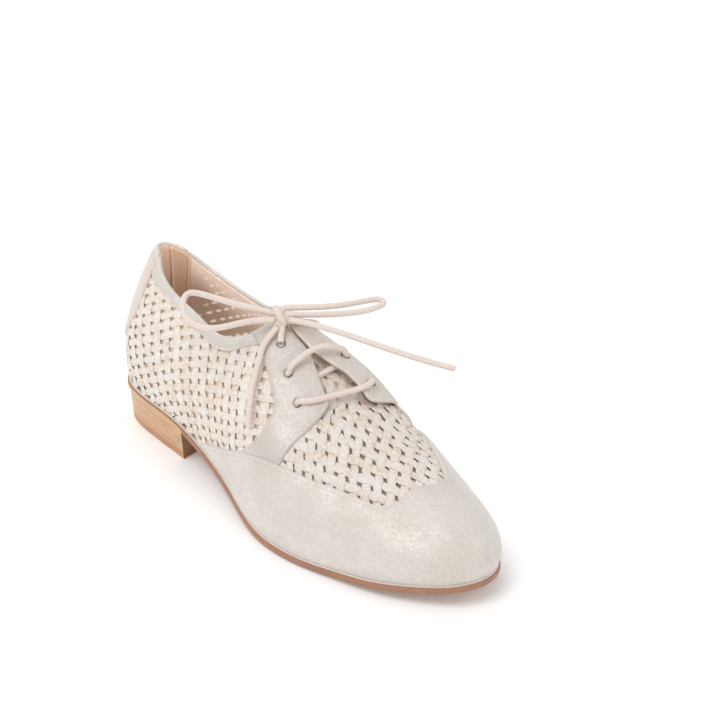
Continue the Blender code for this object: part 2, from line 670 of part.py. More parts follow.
plain = plain[~open_weave(plain, -0.5) & (to_weave > 3.0)]
tongue_rim = resample(np.vstack([TONGUE_EDGE, TONGUE_EDGE[:1]]), 8.0)[:-1]
lows = scatter([upper_rim] + wall_holes, 13.0, 8.0, RIM_CLEAR)
fine = scatter([upper_rim] + wall_holes, 6.0, 6.0, 2.2)
over_tongue = [inside(flat(p), flat(tongue_rim) * (1.0, 1.15)) for p in (lows, fine)]
lows = with_ridge(np.vstack([lows[~over_tongue[0]], fine[over_tongue[1]]]), [upper_rim] + wall_holes)
gap_middle = np.array([g.mean(0) for g in gaps])
lows = lows[np.linalg.norm(flat(lows)[:, None] - flat(gap_middle)[None], axis=-1).min(1) > 4.0]
skin("upper", loops, np.vstack([spots, plain]), np.concatenate([lifts, np.zeros(len(plain))]), lows,
     0.0, -WALL, "weave")

# Overlays, strap and tongue
overlay("toe_cap", cap_rim, [], "suede")
overlay("facing_lateral", facing_l, [circle(e, EYELET, 8) for e in EYELETS_L], "suede", step=6.0)
overlay("facing_medial", facing_m, [circle(e, EYELET, 8) for e in EYELETS_M], "suede", step=6.0,
        bottom=OVER + FACING_LIFT)
overlay("collar_lateral", collar(-1), [], "suede", step=6.0, bottom=OVER + COLLAR_LIFT)
overlay("collar_medial", collar(1), [], "suede", step=6.0, bottom=OVER + COLLAR_LIFT)
overlay("back_strap", strap_rim, [], "strap_suede", step=5.0, to_flat=strap_flat, to_last=strap_lay)
overlay("tongue", tongue_rim, [], "suede", bottom=-WALL - TONGUE_GAP - TONGUE_THICK, thick=TONGUE_THICK)

# Lace: bars over the facings, then the knot with its two loops and two ends
OVER_LACE = OVER + FACING_LIFT + LEATHER + LACE_CLEAR + LACE


def across_throat(near, far, lift):
    at = np.linspace(0.0, 1.0, 5)
    line = np.array(near) + (np.array(far) - np.array(near)) * at[:, None]
    return lay(line, OVER_LACE + lift * np.sin(at * pi))


cord("lace_bar_lower", across_throat(EYELETS_L[0], EYELETS_M[0], 0.5), 7.0)
cord("lace_bar_middle", across_throat(EYELETS_L[1], EYELETS_M[1], 0.5), 7.0)
cord("lace_bar_top", across_throat(EYELETS_L[2], EYELETS_M[2], 0.3), 6.0)
cord("lace_knot", KNOT, 4.4, KNOT_RADIUS)
cord("lace_loop_left", LOOP_LEFT, 7.0)
cord("lace_loop_right", LOOP_RIGHT, 6.5)
end_left = lay(np.array(END_LEFT), OVER_LACE - FACING_LIFT)
cord("lace_end_left", np.vstack([END_LEFT_TOP, end_left]), 7.0)
cord("lace_end_right", END_RIGHT, 7.5)
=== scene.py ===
from math import pi, radians
import bmesh
import bpy
import numpy as np
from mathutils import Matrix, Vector
from mathutils.geometry import delaunay_2d_cdt


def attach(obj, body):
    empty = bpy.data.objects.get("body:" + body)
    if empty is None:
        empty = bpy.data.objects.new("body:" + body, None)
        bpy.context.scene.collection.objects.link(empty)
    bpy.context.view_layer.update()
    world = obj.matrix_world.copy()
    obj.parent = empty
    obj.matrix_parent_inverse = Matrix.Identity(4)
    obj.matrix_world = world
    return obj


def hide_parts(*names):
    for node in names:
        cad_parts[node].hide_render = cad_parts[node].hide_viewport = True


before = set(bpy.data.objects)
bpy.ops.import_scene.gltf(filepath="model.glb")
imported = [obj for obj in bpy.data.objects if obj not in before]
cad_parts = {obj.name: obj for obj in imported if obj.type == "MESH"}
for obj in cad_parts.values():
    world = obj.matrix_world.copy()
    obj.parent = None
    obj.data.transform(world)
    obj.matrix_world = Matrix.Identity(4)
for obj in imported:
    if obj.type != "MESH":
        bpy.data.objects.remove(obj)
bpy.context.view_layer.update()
scene = bpy.context.scene
print("frame loaded:", len(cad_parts), "nodes")

# The last. Sizes in millimetres: x to the toe, y to the inner side, z up.
mm = 0.001
last = {
    "middle": (130.01, 0.38, 0.0),   # shoe centre, which is the frame's origin
    "soleThick": 3.7,
    "seamGap": 0.3,
    "heelRise": 16.6,
    "toeSpring": 8.0,
    "seatEnd": 52.0,
    "flatBack": 162.0,
    "flatFront": 180.0,
    "toeTip": 262.0,
    "backLow": 20.0,
    "backStep": 16.0,
    "backReach": 85.0,
    "backTop": 116.0,
    "backPower": 1.5,
    "springPower": 1.8,
    "swellTop": 0.8,     # share of the wall's height over which the side swells
    "swellRows": 1.5,    # rows over which the swell fades to heel and toe
}
# x, lateral edge, medial edge, crown, ridge, fullness, pinch, lateral swell, medial swell
lastRows = np.array([
    (0.0, 0.0, 0.0, 104.0, 0.0, 2.0, 0.50, 2.5, 2.5),
    (4.0, -12.0, 12.0, 104.0, -0.8, 2.0, 0.83, 2.5, 2.5),
    (16.0, -24.0, 24.0, 104.0, -1.5, 2.0, 1.06, 2.5, 2.5),
    (40.0, -28.3, 27.9, 103.0, -0.5, 2.0, 1.04, 2.5, 2.5),
    (75.0, -29.8, 26.6, 100.5, 1.4, 2.0, 1.22, 3.0, 4.0),
    (115.0, -35.0, 23.6, 86.0, 6.0, 2.0, 0.50, 3.0, 6.0),
    (150.0, -43.3, 39.8, 69.5, 12.0, 2.0, 0.50, 2.0, 4.0),
    (180.0, -43.4, 44.7, 54.6, 9.0, 2.0, 0.50, 1.5, 2.0),
    (205.0, -37.0, 40.8, 46.5, 7.8, 2.0, 0.50, 1.0, 1.5),
    (228.0, -29.5, 34.4, 39.7, 7.8, 2.2, 0.50, 1.0, 1.5),
    (246.0, -19.0, 27.0, 34.2, 8.0, 2.4, 0.50, 1.0, 1.0),
    (257.5, -8.8, 17.3, 25.3, 7.0, 2.4, 0.50, 0.5, 0.5),
    (262.0, 4.8, 4.8, 14.0, 4.8, 2.4, 0.50, 0.0, 0.0)])
backShift = (0.0, -2.0, 1.5, 5.4, 10.2, 13.5, 13.8)   # heel curve at even heights
tip = len(lastRows) - 1


def spline(values, closed=False):
    y = np.asarray(values, float)
    n = len(y)
    m = np.zeros((n, n))
    r = np.zeros_like(y)
    for i in range(n):
        if closed or 0 < i < n - 1:
            m[i, (i - 1) % n] += 1.0
            m[i, i] += 4.0
            m[i, (i + 1) % n] += 1.0
            r[i] = 6.0 * (y[(i - 1) % n] - 2.0 * y[i] + y[(i + 1) % n])
        else:
            m[i, i] = 1.0
    c = np.linalg.solve(m, r)

    def read(t):
        t = np.asarray(t, float)
        i = np.floor(t).astype(int)
        if not closed:
            i = np.clip(i, 0, n - 2)
        f = t - i
        if y.ndim > 1:
            f = f[..., None]
        g = 1.0 - f
        a = i % n
        b = (i + 1) % n
        return g * y[a] + f * y[b] + ((g ** 3 - g) * c[a] + (f ** 3 - f) * c[b]) / 6.0
    return read


outline = spline(np.vstack([lastRows[:, [0, 1]], lastRows[-2:0:-1, [0, 2]]]), True)
lastShape = spline(lastRows[:, 3:])
backCurve = spline(backShift)


def rise(x):   # underside of the sole over the floor
    back = np.clip((last["flatBack"] - x) / (last["flatBack"] - last["seatEnd"]), 0.0, 1.0)
    front = np.clip((x - last["flatFront"]) / (last["toeTip"] - last["flatFront"]), 0.0, 1.0)
    spring = last["toeSpring"] * front ** last["springPower"]
    return last["heelRise"] * back * back * (3.0 - 2.0 * back) + spring


def section(row, turn, side):
    row, turn, side = np.broadcast_arrays(np.asarray(row, float), np.asarray(turn, float), side)
    low = outline(row)
    high = outline(2 * tip - row)
    crown, ridge, full, pinch, swellL, swellM = np.moveaxis(lastShape(row), -1, 0)
    x = low[..., 0]
    edge = np.where(side < 0, low[..., 1], high[..., 1])
    swell = np.where(side < 0, swellL, swellM)
    foot = last["soleThick"] + last["seamGap"] + rise(x)
    up = np.sin(turn) ** (2.0 / full)
    z = foot + (crown - foot) * up
    ends = np.sin(np.clip(np.minimum(row, tip - row) / last["swellRows"], 0.0, 1.0) * pi / 2)
    y = ridge + (edge - ridge) * np.clip(np.cos(turn), 0.0, 1.0) ** (2.0 * pinch)
    y = y + side * swell * np.sin(pi * np.clip(up / last["swellTop"], 0.0, 1.0)) * ends
    height = (np.clip(z, last["backLow"], last["backTop"]) - last["backLow"]) / last["backStep"]
    x = x + backCurve(height) * np.clip(1.0 - x / last["backReach"], 0.0, 1.0) ** last["backPower"]
    return np.stack([x, y, z], -1)


def lengths(points):
    steps = np.linalg.norm(np.diff(points, axis=-2), axis=-1)
    return np.concatenate([np.zeros(steps.shape[:-1] + (1,)), np.cumsum(steps, -1)], -1)


sheet = {"rows": 601, "shares": 121, "turns": 91, "nudge": 0.02, "margin": 0.03}
gridRows = np.linspace(0.0, tip, sheet["rows"])
gridShares = np.linspace(0.0, 1.0, sheet["shares"])


def sideSheet(side):   # one side of the last as an even sheet of places, normals and girths
    rows = gridRows[:, None]
    nudge = sheet["nudge"]
    turns = np.linspace(0.0, pi / 2, sheet["turns"])
    run = lengths(section(rows, turns, side))
    turn = np.array([np.interp(gridShares, r / r[-1], turns) for r in run])
    inner = np.clip(turn, sheet["margin"], pi / 2 - sheet["margin"])
    ahead = section(np.minimum(rows + nudge, tip), inner, side)
    behind = section(np.maximum(rows - nudge, 0.0), inner, side)
    around = section(rows, inner + nudge, side) - section(rows, inner - nudge, side)
    normal = np.cross(ahead - behind, around) * -side
    normal[[0, -1], :, 1] = 0.0
    normal /= np.linalg.norm(normal, axis=-1)[..., None]
    return section(rows, turn, side), normal, run[:, -1]


sheets = [sideSheet(-1), sideSheet(1)]
placeSheet = np.stack([s[0] for s in sheets])
normalSheet = np.stack([s[1] for s in sheets])
girths = [s[2] for s in sheets]
walks = lengths(section(gridRows, 0.0, -1))
stations = outline(gridRows)[:, 0]


def walk(row):
    return np.interp(row, gridRows, walks)


def rowAt(x):
    return np.interp(x, stations, gridRows)


def girth(row, at):   # length of the wall from sole to ridge on the side where at lies
    lateral, medial = (np.interp(row, gridRows, values) for values in girths)
    return np.where(np.asarray(at) < 0, lateral, medial)


def onLast(spots):   # pattern points (row, place from -1 lateral to 1 medial) to place and normal
    spots = np.asarray(spots, float)
    side = (spots[:, 1] >= 0).astype(int)
    i = np.clip(spots[:, 0] / tip, 0.0, 1.0) * (len(gridRows) - 1)
    j = np.clip(1.0 - np.abs(spots[:, 1]), 0.0, 1.0) * (len(gridShares) - 1)
    i0 = np.minimum(i.astype(int), len(gridRows) - 2)
    j0 = np.minimum(j.astype(int), len(gridShares) - 2)
    fi = (i - i0)[:, None]
    fj = (j - j0)[:, None]
    out = []
    for table in (placeSheet, normalSheet):
        low = table[side, i0, j0] * (1 - fi) + table[side, i0 + 1, j0] * fi
        high = table[side, i0, j0 + 1] * (1 - fi) + table[side, i0 + 1, j0 + 1] * fi
        out.append(low * (1 - fj) + high * fj)
    out[1] /= np.linalg.norm(out[1], axis=1)[:, None]
    return out


def lay(spots, off):
    place, normal = onLast(spots)
    return place + normal * np.broadcast_to(off, (len(place),))[:, None]


def inFrame(points):   # millimetres on the last to metres in the frame
    return (np.asarray(points, float) - np.array(last["middle"])) * mm


# Flat pattern: distance along the sole edge, distance over the wall from the ridge.
def flat(spots):
    spots = np.asarray(spots, float)
    return np.column_stack([walk(spots[:, 0]), spots[:, 1] * girth(spots[:, 0], spots[:, 1])])


def unflat(points):
    row = np.interp(points[:, 0], walks, gridRows)
    return np.column_stack([row, np.clip(points[:, 1] / girth(row, points[:, 1]), -1.0, 1.0)])


# The strap crosses the back seam: row counted positive on the lateral side, and share of the wall.
def strapFlat(spots):
    row = np.abs(spots[:, 0])
    return np.column_stack([np.sign(spots[:, 0]) * walk(row), spots[:, 1] * girth(row, -spots[:, 0])])


def strapUnflat(points):
    row = np.interp(np.abs(points[:, 0]), walks, gridRows)
    share = points[:, 1] / girth(row, -points[:, 0])
    return np.column_stack([row * np.where(points[:, 0] < 0, -1.0, 1.0), share])


def strapSpots(spots):
    side = np.where(spots[:, 0] < 0, 1.0, -1.0)
    return np.column_stack([np.abs(spots[:, 0]), side * (1.0 - spots[:, 1])])


def inside(points, loop):
    px, py = points[:, 0][:, None], points[:, 1][:, None]
    ax, ay = loop[:, 0], loop[:, 1]
    bx, by = np.roll(ax, -1), np.roll(ay, -1)
    cross = (ay > py) != (by > py)
    at = ax + (py - ay) * (bx - ax) / np.where(by == ay, 1e-12, by - ay)
    return (np.sum(cross & (px < at), axis=1) % 2) == 1


def distance(points, loop):
    way = np.roll(loop, -1, axis=0) - loop
    t = np.sum((points[:, None] - loop) * way, -1) / np.maximum(np.sum(way * way, -1), 1e-12)
    near = loop + np.clip(t, 0.0, 1.0)[..., None] * way
    return np.linalg.norm(points[:, None] - near, axis=-1).min(1)


def evenly(line, run, count):   # points at even distances along a line
    at = np.linspace(0.0, run[-1], count)
    return np.column_stack([np.interp(at, run, values) for values in line.T])


def evenLine(line):
    run = lengths(flat(line))
    return evenly(line, run, max(int(round(run[-1] / pattern["step"])), 1) + 1)


def curveLine(points):   # a smooth pattern line through a few points
    points = np.asarray(points, float)
    return evenLine(spline(points)(np.linspace(0.0, len(points) - 1.0, pattern["fine"] * len(points))))


def joinLines(*lines):
    out = []
    for line in lines:
        for p in np.asarray(line, float):
            if not out or np.abs(out[-1] - p).max() > 1e-9:
                out.append(p)
    if np.abs(out[0] - out[-1]).max() < 1e-9:
        out.pop()
    return np.array(out)


# Pattern lines of the pieces, in rows of the last and place across it.
pattern = {
    "step": 2.2,            # millimetres between the points of a line
    "fine": 40,             # places read for each given point of a line
    "nosePoints": 9,
    "seamPoints": 30,
    "strapTopPoints": 25,
    "strapLowPoints": 17,
    # row, lateral and medial height of the collar's edge
    "top": ((0.0, 0.813, 0.813), (1.0, 0.812, 0.795), (1.8, 0.797, 0.765), (2.4, 0.731, 0.684),
            (3.1, 0.671, 0.631), (3.8, 0.634, 0.658), (4.2, 0.638, 0.732), (4.5, 0.702, 0.845),
            (4.75, 0.790, 0.900)),
    "laceEdgeL": ((4.86, -0.135), (4.97, -0.085), (5.13, -0.078), (5.4, -0.080), (5.62, -0.099),
                  (5.95, -0.149), (6.28, -0.186)),
    "laceEdgeM": ((4.86, 0.060), (4.97, -0.025), (5.16, -0.058), (5.34, -0.067), (5.53, -0.074),
                  (5.65, -0.068), (5.85, -0.050), (6.01, -0.028), (6.18, -0.014), (6.34, -0.003),
                  (6.5, 0.001)),
    "facingFrontL": ((6.37, -0.300), (6.34, -0.420), (6.31, -0.52), (6.32, -0.568)),
    "facingFrontM": ((6.59, 0.026), (6.62, 0.100), (6.58, 0.190), (6.51, 0.270), (6.46, 0.400),
                     (6.42, 0.545)),
    "facingBackL": ((5.58, -0.665), (5.72, -0.60), (5.77, -0.532), (5.75, -0.42), (5.55, -0.356),
                    (5.30, -0.292), (4.98, -0.227)),
    "facingBackM": ((5.58, 0.660), (5.72, 0.58), (5.75, 0.48), (5.70, 0.36), (5.52, 0.262),
                    (5.27, 0.19), (4.98, 0.140)),
    "collarLowL": ((1.86, -0.300), (2.10, -0.313), (2.37, -0.336), (2.98, -0.368), (3.36, -0.400),
                   (3.77, -0.428), (4.11, -0.432), (4.35, -0.418), (4.59, -0.363), (4.74, -0.302),
                   (4.90, -0.248)),
    "collarLowM": ((1.90, 0.335), (2.15, 0.355), (2.5, 0.405), (3.1, 0.452), (3.6, 0.440), (4.0, 0.390),
                   (4.3, 0.318), (4.55, 0.240), (4.76, 0.190), (4.90, 0.162)),
    "wingL": ((4.30, -1.0), (4.55, -0.91), (4.95, -0.817), (5.54, -0.695), (6.14, -0.612),
              (6.77, -0.552), (7.5, -0.484), (8.1, -0.450), (8.42, -0.415), (8.62, -0.320),
              (8.63, -0.220), (8.53, -0.150)),
    "wingM": ((8.53, -0.130), (8.64, -0.060), (8.70, 0.060), (8.62, 0.150), (8.45, 0.215),
              (8.0, 0.300), (7.5, 0.385), (6.9, 0.490), (6.3, 0.590), (5.54, 0.700), (4.95, 0.815),
              (4.55, 0.91), (4.30, 1.0)),
    "strap": ((0.85, 0.0), (1.0, 0.1), (1.35, 0.2), (1.80, 0.3), (2.08, 0.42), (2.14, 0.53), (2.02, 0.66),
              (1.88, 0.785)),
    "eyeletsL": ((5.97, -0.311), (5.59, -0.243), (5.23, -0.159)),
    "eyeletsM": ((6.25, 0.097), (5.76, 0.059), (5.20, 0.055)),
    "tongue": ((4.95, -0.15), (5.25, -0.22), (5.7, -0.28), (6.2, -0.25), (6.33, -0.12), (6.33, 0.10),
               (6.2, 0.22), (5.7, 0.22), (5.25, 0.16), (4.97, 0.10), (4.90, -0.02)),
    "throatEnd": 5.72,
    "facingTuck": 0.042,    # how far the facings run on under the cap
    "facingClear": 0.02,
    "flarePoints": 3,
    "collarStart": 1.76,
    "collarEnd": 4.71,
    "collarFrontL": ((4.82, -0.196), (5.04, -0.214)),
    "collarFrontM": ((4.82, 0.088), (5.04, 0.128)),
}
marks = {"L": -1, "M": 1}   # lateral and medial side
topRows = np.array(pattern["top"])
topCurve = spline(topRows[:, 1:])


def topShares(row):   # lateral and medial height of the collar's edge, as shares of the wall
    return topCurve(np.interp(row, topRows[:, 0], np.arange(len(topRows))))


def topline(side, start, end, count=80):
    row = np.linspace(start, end, count)
    return np.column_stack([row, side * (1.0 - topShares(row)[:, 0 if side < 0 else 1])])


def soleEdge(start, end, side, count=400):
    return evenLine(np.column_stack([np.linspace(start, end, count), np.full(count, float(side))]))


def bothSides(name):
    return {mark: curveLine(pattern[name + mark]) for mark in marks}


wing = bothSides("wing")
laceEdge = bothSides("laceEdge")
facingBack = bothSides("facingBack")
collarLow = bothSides("collarLow")


def frontLine(mark, count=None):   # a facing's front, on from its lace edge
    return curveLine(np.vstack([laceEdge[mark][-1:], pattern["facingFront" + mark][:count]]))


wingEnd = pattern["wingL"][0][0]
noseCount = pattern["nosePoints"]
nose = np.column_stack([np.full(noseCount, float(tip)), np.linspace(-1.0, 1.0, noseCount)])
capRim = joinLines(soleEdge(wingEnd, tip, -1), nose, soleEdge(tip, wingEnd, 1),
                   wing["M"][::-1], wing["L"][::-1])


def facingRim(mark):
    back = facingBack[mark]
    front = frontLine(mark)
    row = wing[mark][:, 0]
    clear = pattern["facingClear"]
    low = wing[mark][(row > back[0, 0] + clear) & (row < front[-1, 0] - clear)]
    low = low + np.array((0.0, marks[mark] * pattern["facingTuck"]))
    low = low[::-1] if low[0, 0] < low[-1, 0] else low
    top = topline(marks[mark], topRows[-1, 0], topRows[-1, 0], 1)
    return joinLines(laceEdge[mark], front[1:], low, back, top)


def collarRim(mark):
    high = evenLine(topline(marks[mark], pattern["collarStart"], pattern["collarEnd"]))
    return joinLines(high, pattern["collarFront" + mark], collarLow[mark][::-1])


facings = {mark: facingRim(mark) for mark in marks}
collars = {mark: collarRim(mark) for mark in marks}
throat = {mark: line[line[:, 0] < pattern["throatEnd"]] for mark, line in laceEdge.items()}
flareLine = joinLines(laceEdge["M"], frontLine("M", pattern["flarePoints"])[1:])
strapSide = curveLine(pattern["strap"])


def strapAcross(half, count):   # a level line from the lateral to the medial edge of the strap
    return np.column_stack([np.linspace(half, -half, count), np.zeros(count)])


strapTop = strapAcross(strapSide[-1, 0], pattern["strapTopPoints"])
strapShares = topShares(np.abs(strapTop[:, 0]))
strapTop[:, 1] = np.where(strapTop[:, 0] > 0, strapShares[:, 0], strapShares[:, 1])
strapSide[-1, 1] = strapTop[0, 1]
strapSideM = strapSide * np.array((-1.0, strapTop[-1, 1] / strapTop[0, 1]))
strapLow = strapAcross(-strapSide[0, 0], pattern["strapLowPoints"])   # and back, at the sole
strapRim = joinLines(strapLow, strapSide[:-1], strapTop[1:-1], strapSideM[:-1][::-1])


def wholeRim(down):   # round the whole upper, its collar edge let down by a share of the wall
    count = pattern["seamPoints"]
    seam = np.column_stack([np.zeros(count), np.linspace(1.0, 1.0 - topRows[0, 1] + down, count)])
    high = {}
    for mark, side in marks.items():
        high[mark] = evenLine(topline(side, 0.0, topRows[-1, 0])) + np.array((0.0, side * down))
    return joinLines(soleEdge(0.0, tip, -1), nose, soleEdge(tip, 0.0, 1), seam, high["M"], throat["M"],
                     throat["L"][::-1], high["L"][::-1], seam[::-1] * np.array((1.0, -1.0)))


def easeIn(value, low, high):
    t = np.clip((value - low) / (high - low), 0.0, 1.0)
    return t * t * (3.0 - 2.0 * t)


def underTopline(spots):   # how far a pattern point lies under the collar's edge, over the wall
    shares = topShares(spots[:, 0])
    top = np.where(spots[:, 1] < 0, shares[:, 0], shares[:, 1])
    return (np.abs(spots[:, 1]) - (1.0 - top)) * girth(spots[:, 0], spots[:, 1])


def strapFlatOf(spots):
    return strapFlat(np.column_stack([-np.sign(spots[:, 1]) * spots[:, 0], 1.0 - np.abs(spots[:, 1])]))


covers = {"cap": (flat, flat(capRim)), "strap": (strapFlatOf, strapFlat(strapRim))}
for mark in marks:
    covers["facing" + mark] = (flat, flat(facings[mark]))
    covers["collar" + mark] = (flat, flat(collars[mark]))


def outsideOf(name, spots):   # distance to a panel's rim, below zero on the panel itself
    mapping, loop = covers[name]
    here = mapping(spots)
    return np.where(inside(here, loop), -1.0, 1.0) * distance(here, loop)


# Relief that is listed here: the sunk throat, the lifted inner facing, soft folds.
relief = {
    "sag": 3.0,
    "sagRows": ((4.9, 0.0), (5.3, 0.5), (5.6, 1.0), (6.45, 1.0), (6.95, 0.0)),
    "sagHalf": ((5.2, 0.03), (5.7, 0.045), (6.3, 0.11), (6.7, 0.10)),
    "sagMiddle": -0.085,
    "sagSoft": 0.12,
    "flare": 2.2,
    "flareReach": 13.0,
    "flareRows": (4.9, 6.2),
    "thinReach": 7.0,       # millimetres under the collar's edge
    "lastedReach": 5.5,     # millimetres over the sole
    "dipReach": (-0.4, 2.6),   # either side of the rim of the panel above
    "leastWall": 0.4,
    # row, place, reach along and across in mm, height: troughs below zero, ridges above
    "folds": ((6.05, -0.42, 22.0, 5.0, -0.55), (5.80, -0.47, 18.0, 5.0, 0.45), (6.25, -0.22, 9.0, 4.0, -0.45),
              (5.55, -0.15, 9.0, 4.0, -0.4), (8.75, -0.56, 26.0, 7.0, 0.55), (9.5, -0.36, 26.0, 8.0, -0.6),
              (9.7, 0.16, 22.0, 8.0, -0.5), (7.3, -0.76, 32.0, 6.0, -0.5), (6.6, -0.72, 24.0, 5.0, 0.4),
              (3.3, -0.40, 30.0, 4.0, 0.35), (6.2, 0.30, 16.0, 5.0, -0.6), (5.8, 0.42, 16.0, 5.0, 0.5)),
}


def sag(spots):
    row, at = spots[:, 0], spots[:, 1]
    rows, share = np.transpose(relief["sagRows"])
    halfRows, half = np.transpose(relief["sagHalf"])
    off = np.abs(at - relief["sagMiddle"]) - np.interp(row, halfRows, half)
    return relief["sag"] * np.interp(row, rows, share) * (1.0 - easeIn(off, 0.0, relief["sagSoft"]))


def folds(spots):
    here = flat(spots)
    out = np.zeros(len(spots))
    for row, at, along, across, height in relief["folds"]:
        away = (here - flat(np.array([(row, at)]))) / np.array((along, across))
        out += height * np.exp(-np.sum(away * away, axis=1))
    return out


def heights(spots, size):   # top and underside of a panel over the last
    top = np.full(len(spots), size["high"])
    low = np.full(len(spots), size["low"])
    if "thin" in size:
        top -= size["thin"] * (1.0 - easeIn(underTopline(spots), 0.0, relief["thinReach"]))
    if "lasted" in size:   # drawn in where the upper meets the sole
        overSole = (1.0 - np.abs(spots[:, 1])) * girth(*spots.T)
        top -= size["lasted"] * (1.0 - easeIn(overSole, 0.0, relief["lastedReach"]))
    if "folds" in size:
        top += folds(spots) * size["folds"]
    for name in size.get("under", ()):
        top -= size["dip"] * (1.0 - easeIn(outsideOf(name, spots), *relief["dipReach"]))
    if "sag" in size:
        top -= sag(spots)
        low -= sag(spots)
    if "flare" in size:
        near = easeIn(distance(flat(spots), flat(flareLine)), relief["flareReach"], 0.0)
        near = near * relief["flare"] * easeIn(spots[:, 0], *relief["flareRows"])
        top += near
        low += near
    return top, np.minimum(low, top - relief["leastWall"])


# Shader helper: a socket that takes part in plain arithmetic.
class Wire:
    def __init__(self, tree, socket=None):
        self.tree = tree
        self.socket = socket

    def add(self, kind, settings=None, inputs=None, out=0):
        made = self.tree.nodes.new(kind)
        for name, value in (settings or {}).items():
            if name == "stops":
                ramp = made.color_ramp
                while len(ramp.elements) < len(value):
                    ramp.elements.new(0.5)
                for element, (at, colour) in zip(ramp.elements, value):
                    element.position = at
                    element.color = colour
            else:
                setattr(made, name, value)
        for key, value in (inputs or {}).items():
            if isinstance(value, Wire):
                self.tree.links.new(value.socket, made.inputs[key])
            else:
                made.inputs[key].default_value = value
        return Wire(self.tree, made.outputs[out])

    def maths(self, operation, a, b=0.0):
        return self.add("ShaderNodeMath", {"operation": operation}, {0: a, 1: b})

    def __add__(self, other):
        return self.maths("ADD", self, other)

    def __sub__(self, other):
        return self.maths("SUBTRACT", self, other)

    def __mul__(self, other):
        return self.maths("MULTIPLY", self, other)

    def __radd__(self, other):
        return self.maths("ADD", other, self)

    def __rsub__(self, other):
        return self.maths("SUBTRACT", other, self)

    def __rmul__(self, other):
        return self.maths("MULTIPLY", other, self)

    def spread(self, low, high, toLow=0.0, toHigh=1.0):
        return self.add("ShaderNodeMapRange", {"interpolation_type": "SMOOTHSTEP"},
                        {0: self, 1: low, 2: high, 3: toLow, 4: toHigh})


class Finish:   # one Principled material and the nodes that a surface pattern needs
    def __init__(self, name, **fixed):
        self.material = bpy.data.materials.new(name)
        self.material.use_nodes = True
        self.tree = self.material.node_tree
        self.shader = self.tree.nodes["Principled BSDF"]
        self.root = Wire(self.tree)
        for label, value in fixed.items():
            self.shader.inputs[label.replace("_", " ")].default_value = value

    def place(self):
        return self.root.add("ShaderNodeTexCoord", out=3)

    def attribute(self, name):
        return self.root.add("ShaderNodeAttribute", {"attribute_name": name}, out=2)

    def scaled(self, vector, x, y, z):
        return self.root.add("ShaderNodeVectorMath", {"operation": "MULTIPLY"}, {0: vector, 1: (x, y, z)})

    def vector(self, x, y, z):
        return self.root.add("ShaderNodeCombineXYZ", None, {0: x, 1: y, 2: z})

    def noise(self, vector, scale, detail=2.0, rough=0.5):
        return self.root.add("ShaderNodeTexNoise", None,
                             {"Vector": vector, "Scale": scale, "Detail": detail, "Roughness": rough})

    def cells(self, vector, scale):
        return self.root.add("ShaderNodeTexVoronoi", None, {"Vector": vector, "Scale": scale}, "Color")

    def blend(self, factor, a, b, mode="MIX"):
        return self.root.add("ShaderNodeMix", {"data_type": "RGBA", "blend_type": mode},
                             {0: factor, 6: a, 7: b}, out=2)

    def shade(self, value, low, high, dark, light):   # a tint that follows a pattern's value
        return self.blend(value.spread(low, high), dark, light)

    def washed(self, colour, *tints):
        for wash in tints:
            colour = self.blend(1.0, colour, wash, "MULTIPLY")
        return colour

    def bump(self, height, strength, reach, below=None):
        inputs = {"Height": height, "Strength": strength, "Distance": reach}
        if below is not None:
            inputs["Normal"] = below
        return self.root.add("ShaderNodeBump", None, inputs)

    def feed(self, **wires):
        for label, wire in wires.items():
            self.tree.links.new(wire.socket, self.shader.inputs[label.replace("_", " ")])
        return self.material


def tint(r, g, b):
    return (r, g, b, 1.0)


def grey(value):
    return tint(value, value, value)


# Finishes. Noise scales are counts per metre.
suedeLook = {
    "cloud": 42.0,
    "smudge": 620.0,
    "grain": 1700.0,
    "speck": 2100.0,
    "dent": 120.0,
    "metal": 0.43,
    "rough": 0.61,
    "polish": 0.26,
    "foil": (0.45, 0.4, 0.15),     # shares of smudge, speck and cloud
    "speckHeight": 0.45,
    # bump: strength, and reach in metres
    "nap": (0.38, 0.0003),
    "dents": (0.22, 0.0022),
    "smears": (0.12, 0.0008),
}


def suede(name, base, bright):
    look = suedeLook
    made = Finish(name, Sheen_Weight=0.2, Sheen_Roughness=0.5)
    at = made.place()
    cloud = made.noise(at, look["cloud"], 3.0, 0.55)
    smudge = made.noise(at, look["smudge"], 4.0, 0.65)
    grain = made.noise(at, look["grain"], 2.0, 0.6)
    speck = made.root.add("ShaderNodeSeparateColor", None, {0: made.cells(at, look["speck"])})
    ofSmudge, ofSpeck, ofCloud = look["foil"]
    foil = smudge.spread(0.36, 0.68) * ofSmudge + speck * ofSpeck + cloud.spread(0.3, 0.7) * ofCloud
    colour = made.washed(made.blend(foil, base, bright),
                         made.shade(grain, 0.28, 0.72, tint(0.93, 0.93, 0.925), grey(1.04)),
                         made.shade(cloud, 0.32, 0.68, tint(0.965, 0.955, 0.945), tint(1.025, 1.025, 1.03)))
    nap = made.bump(grain + speck * look["speckHeight"], *look["nap"])
    dents = made.bump(made.noise(at, look["dent"], 2.0, 0.5), *look["dents"], nap)
    return made.feed(Base_Color=colour, Metallic=foil * look["metal"],
                     Normal=made.bump(smudge, *look["smears"], dents),
                     Roughness=look["rough"] - foil * look["polish"])


def rawEdge(name, base, grainScale=1400.0):
    made = Finish(name, Roughness=0.8)
    grain = made.noise(made.place(), grainScale, 3.0)
    colour = made.washed(base, made.shade(grain, 0.3, 0.7, tint(0.82, 0.80, 0.79), grey(1.05)))
    return made.feed(Base_Color=colour, Normal=made.bump(grain, 0.3, 0.0004))


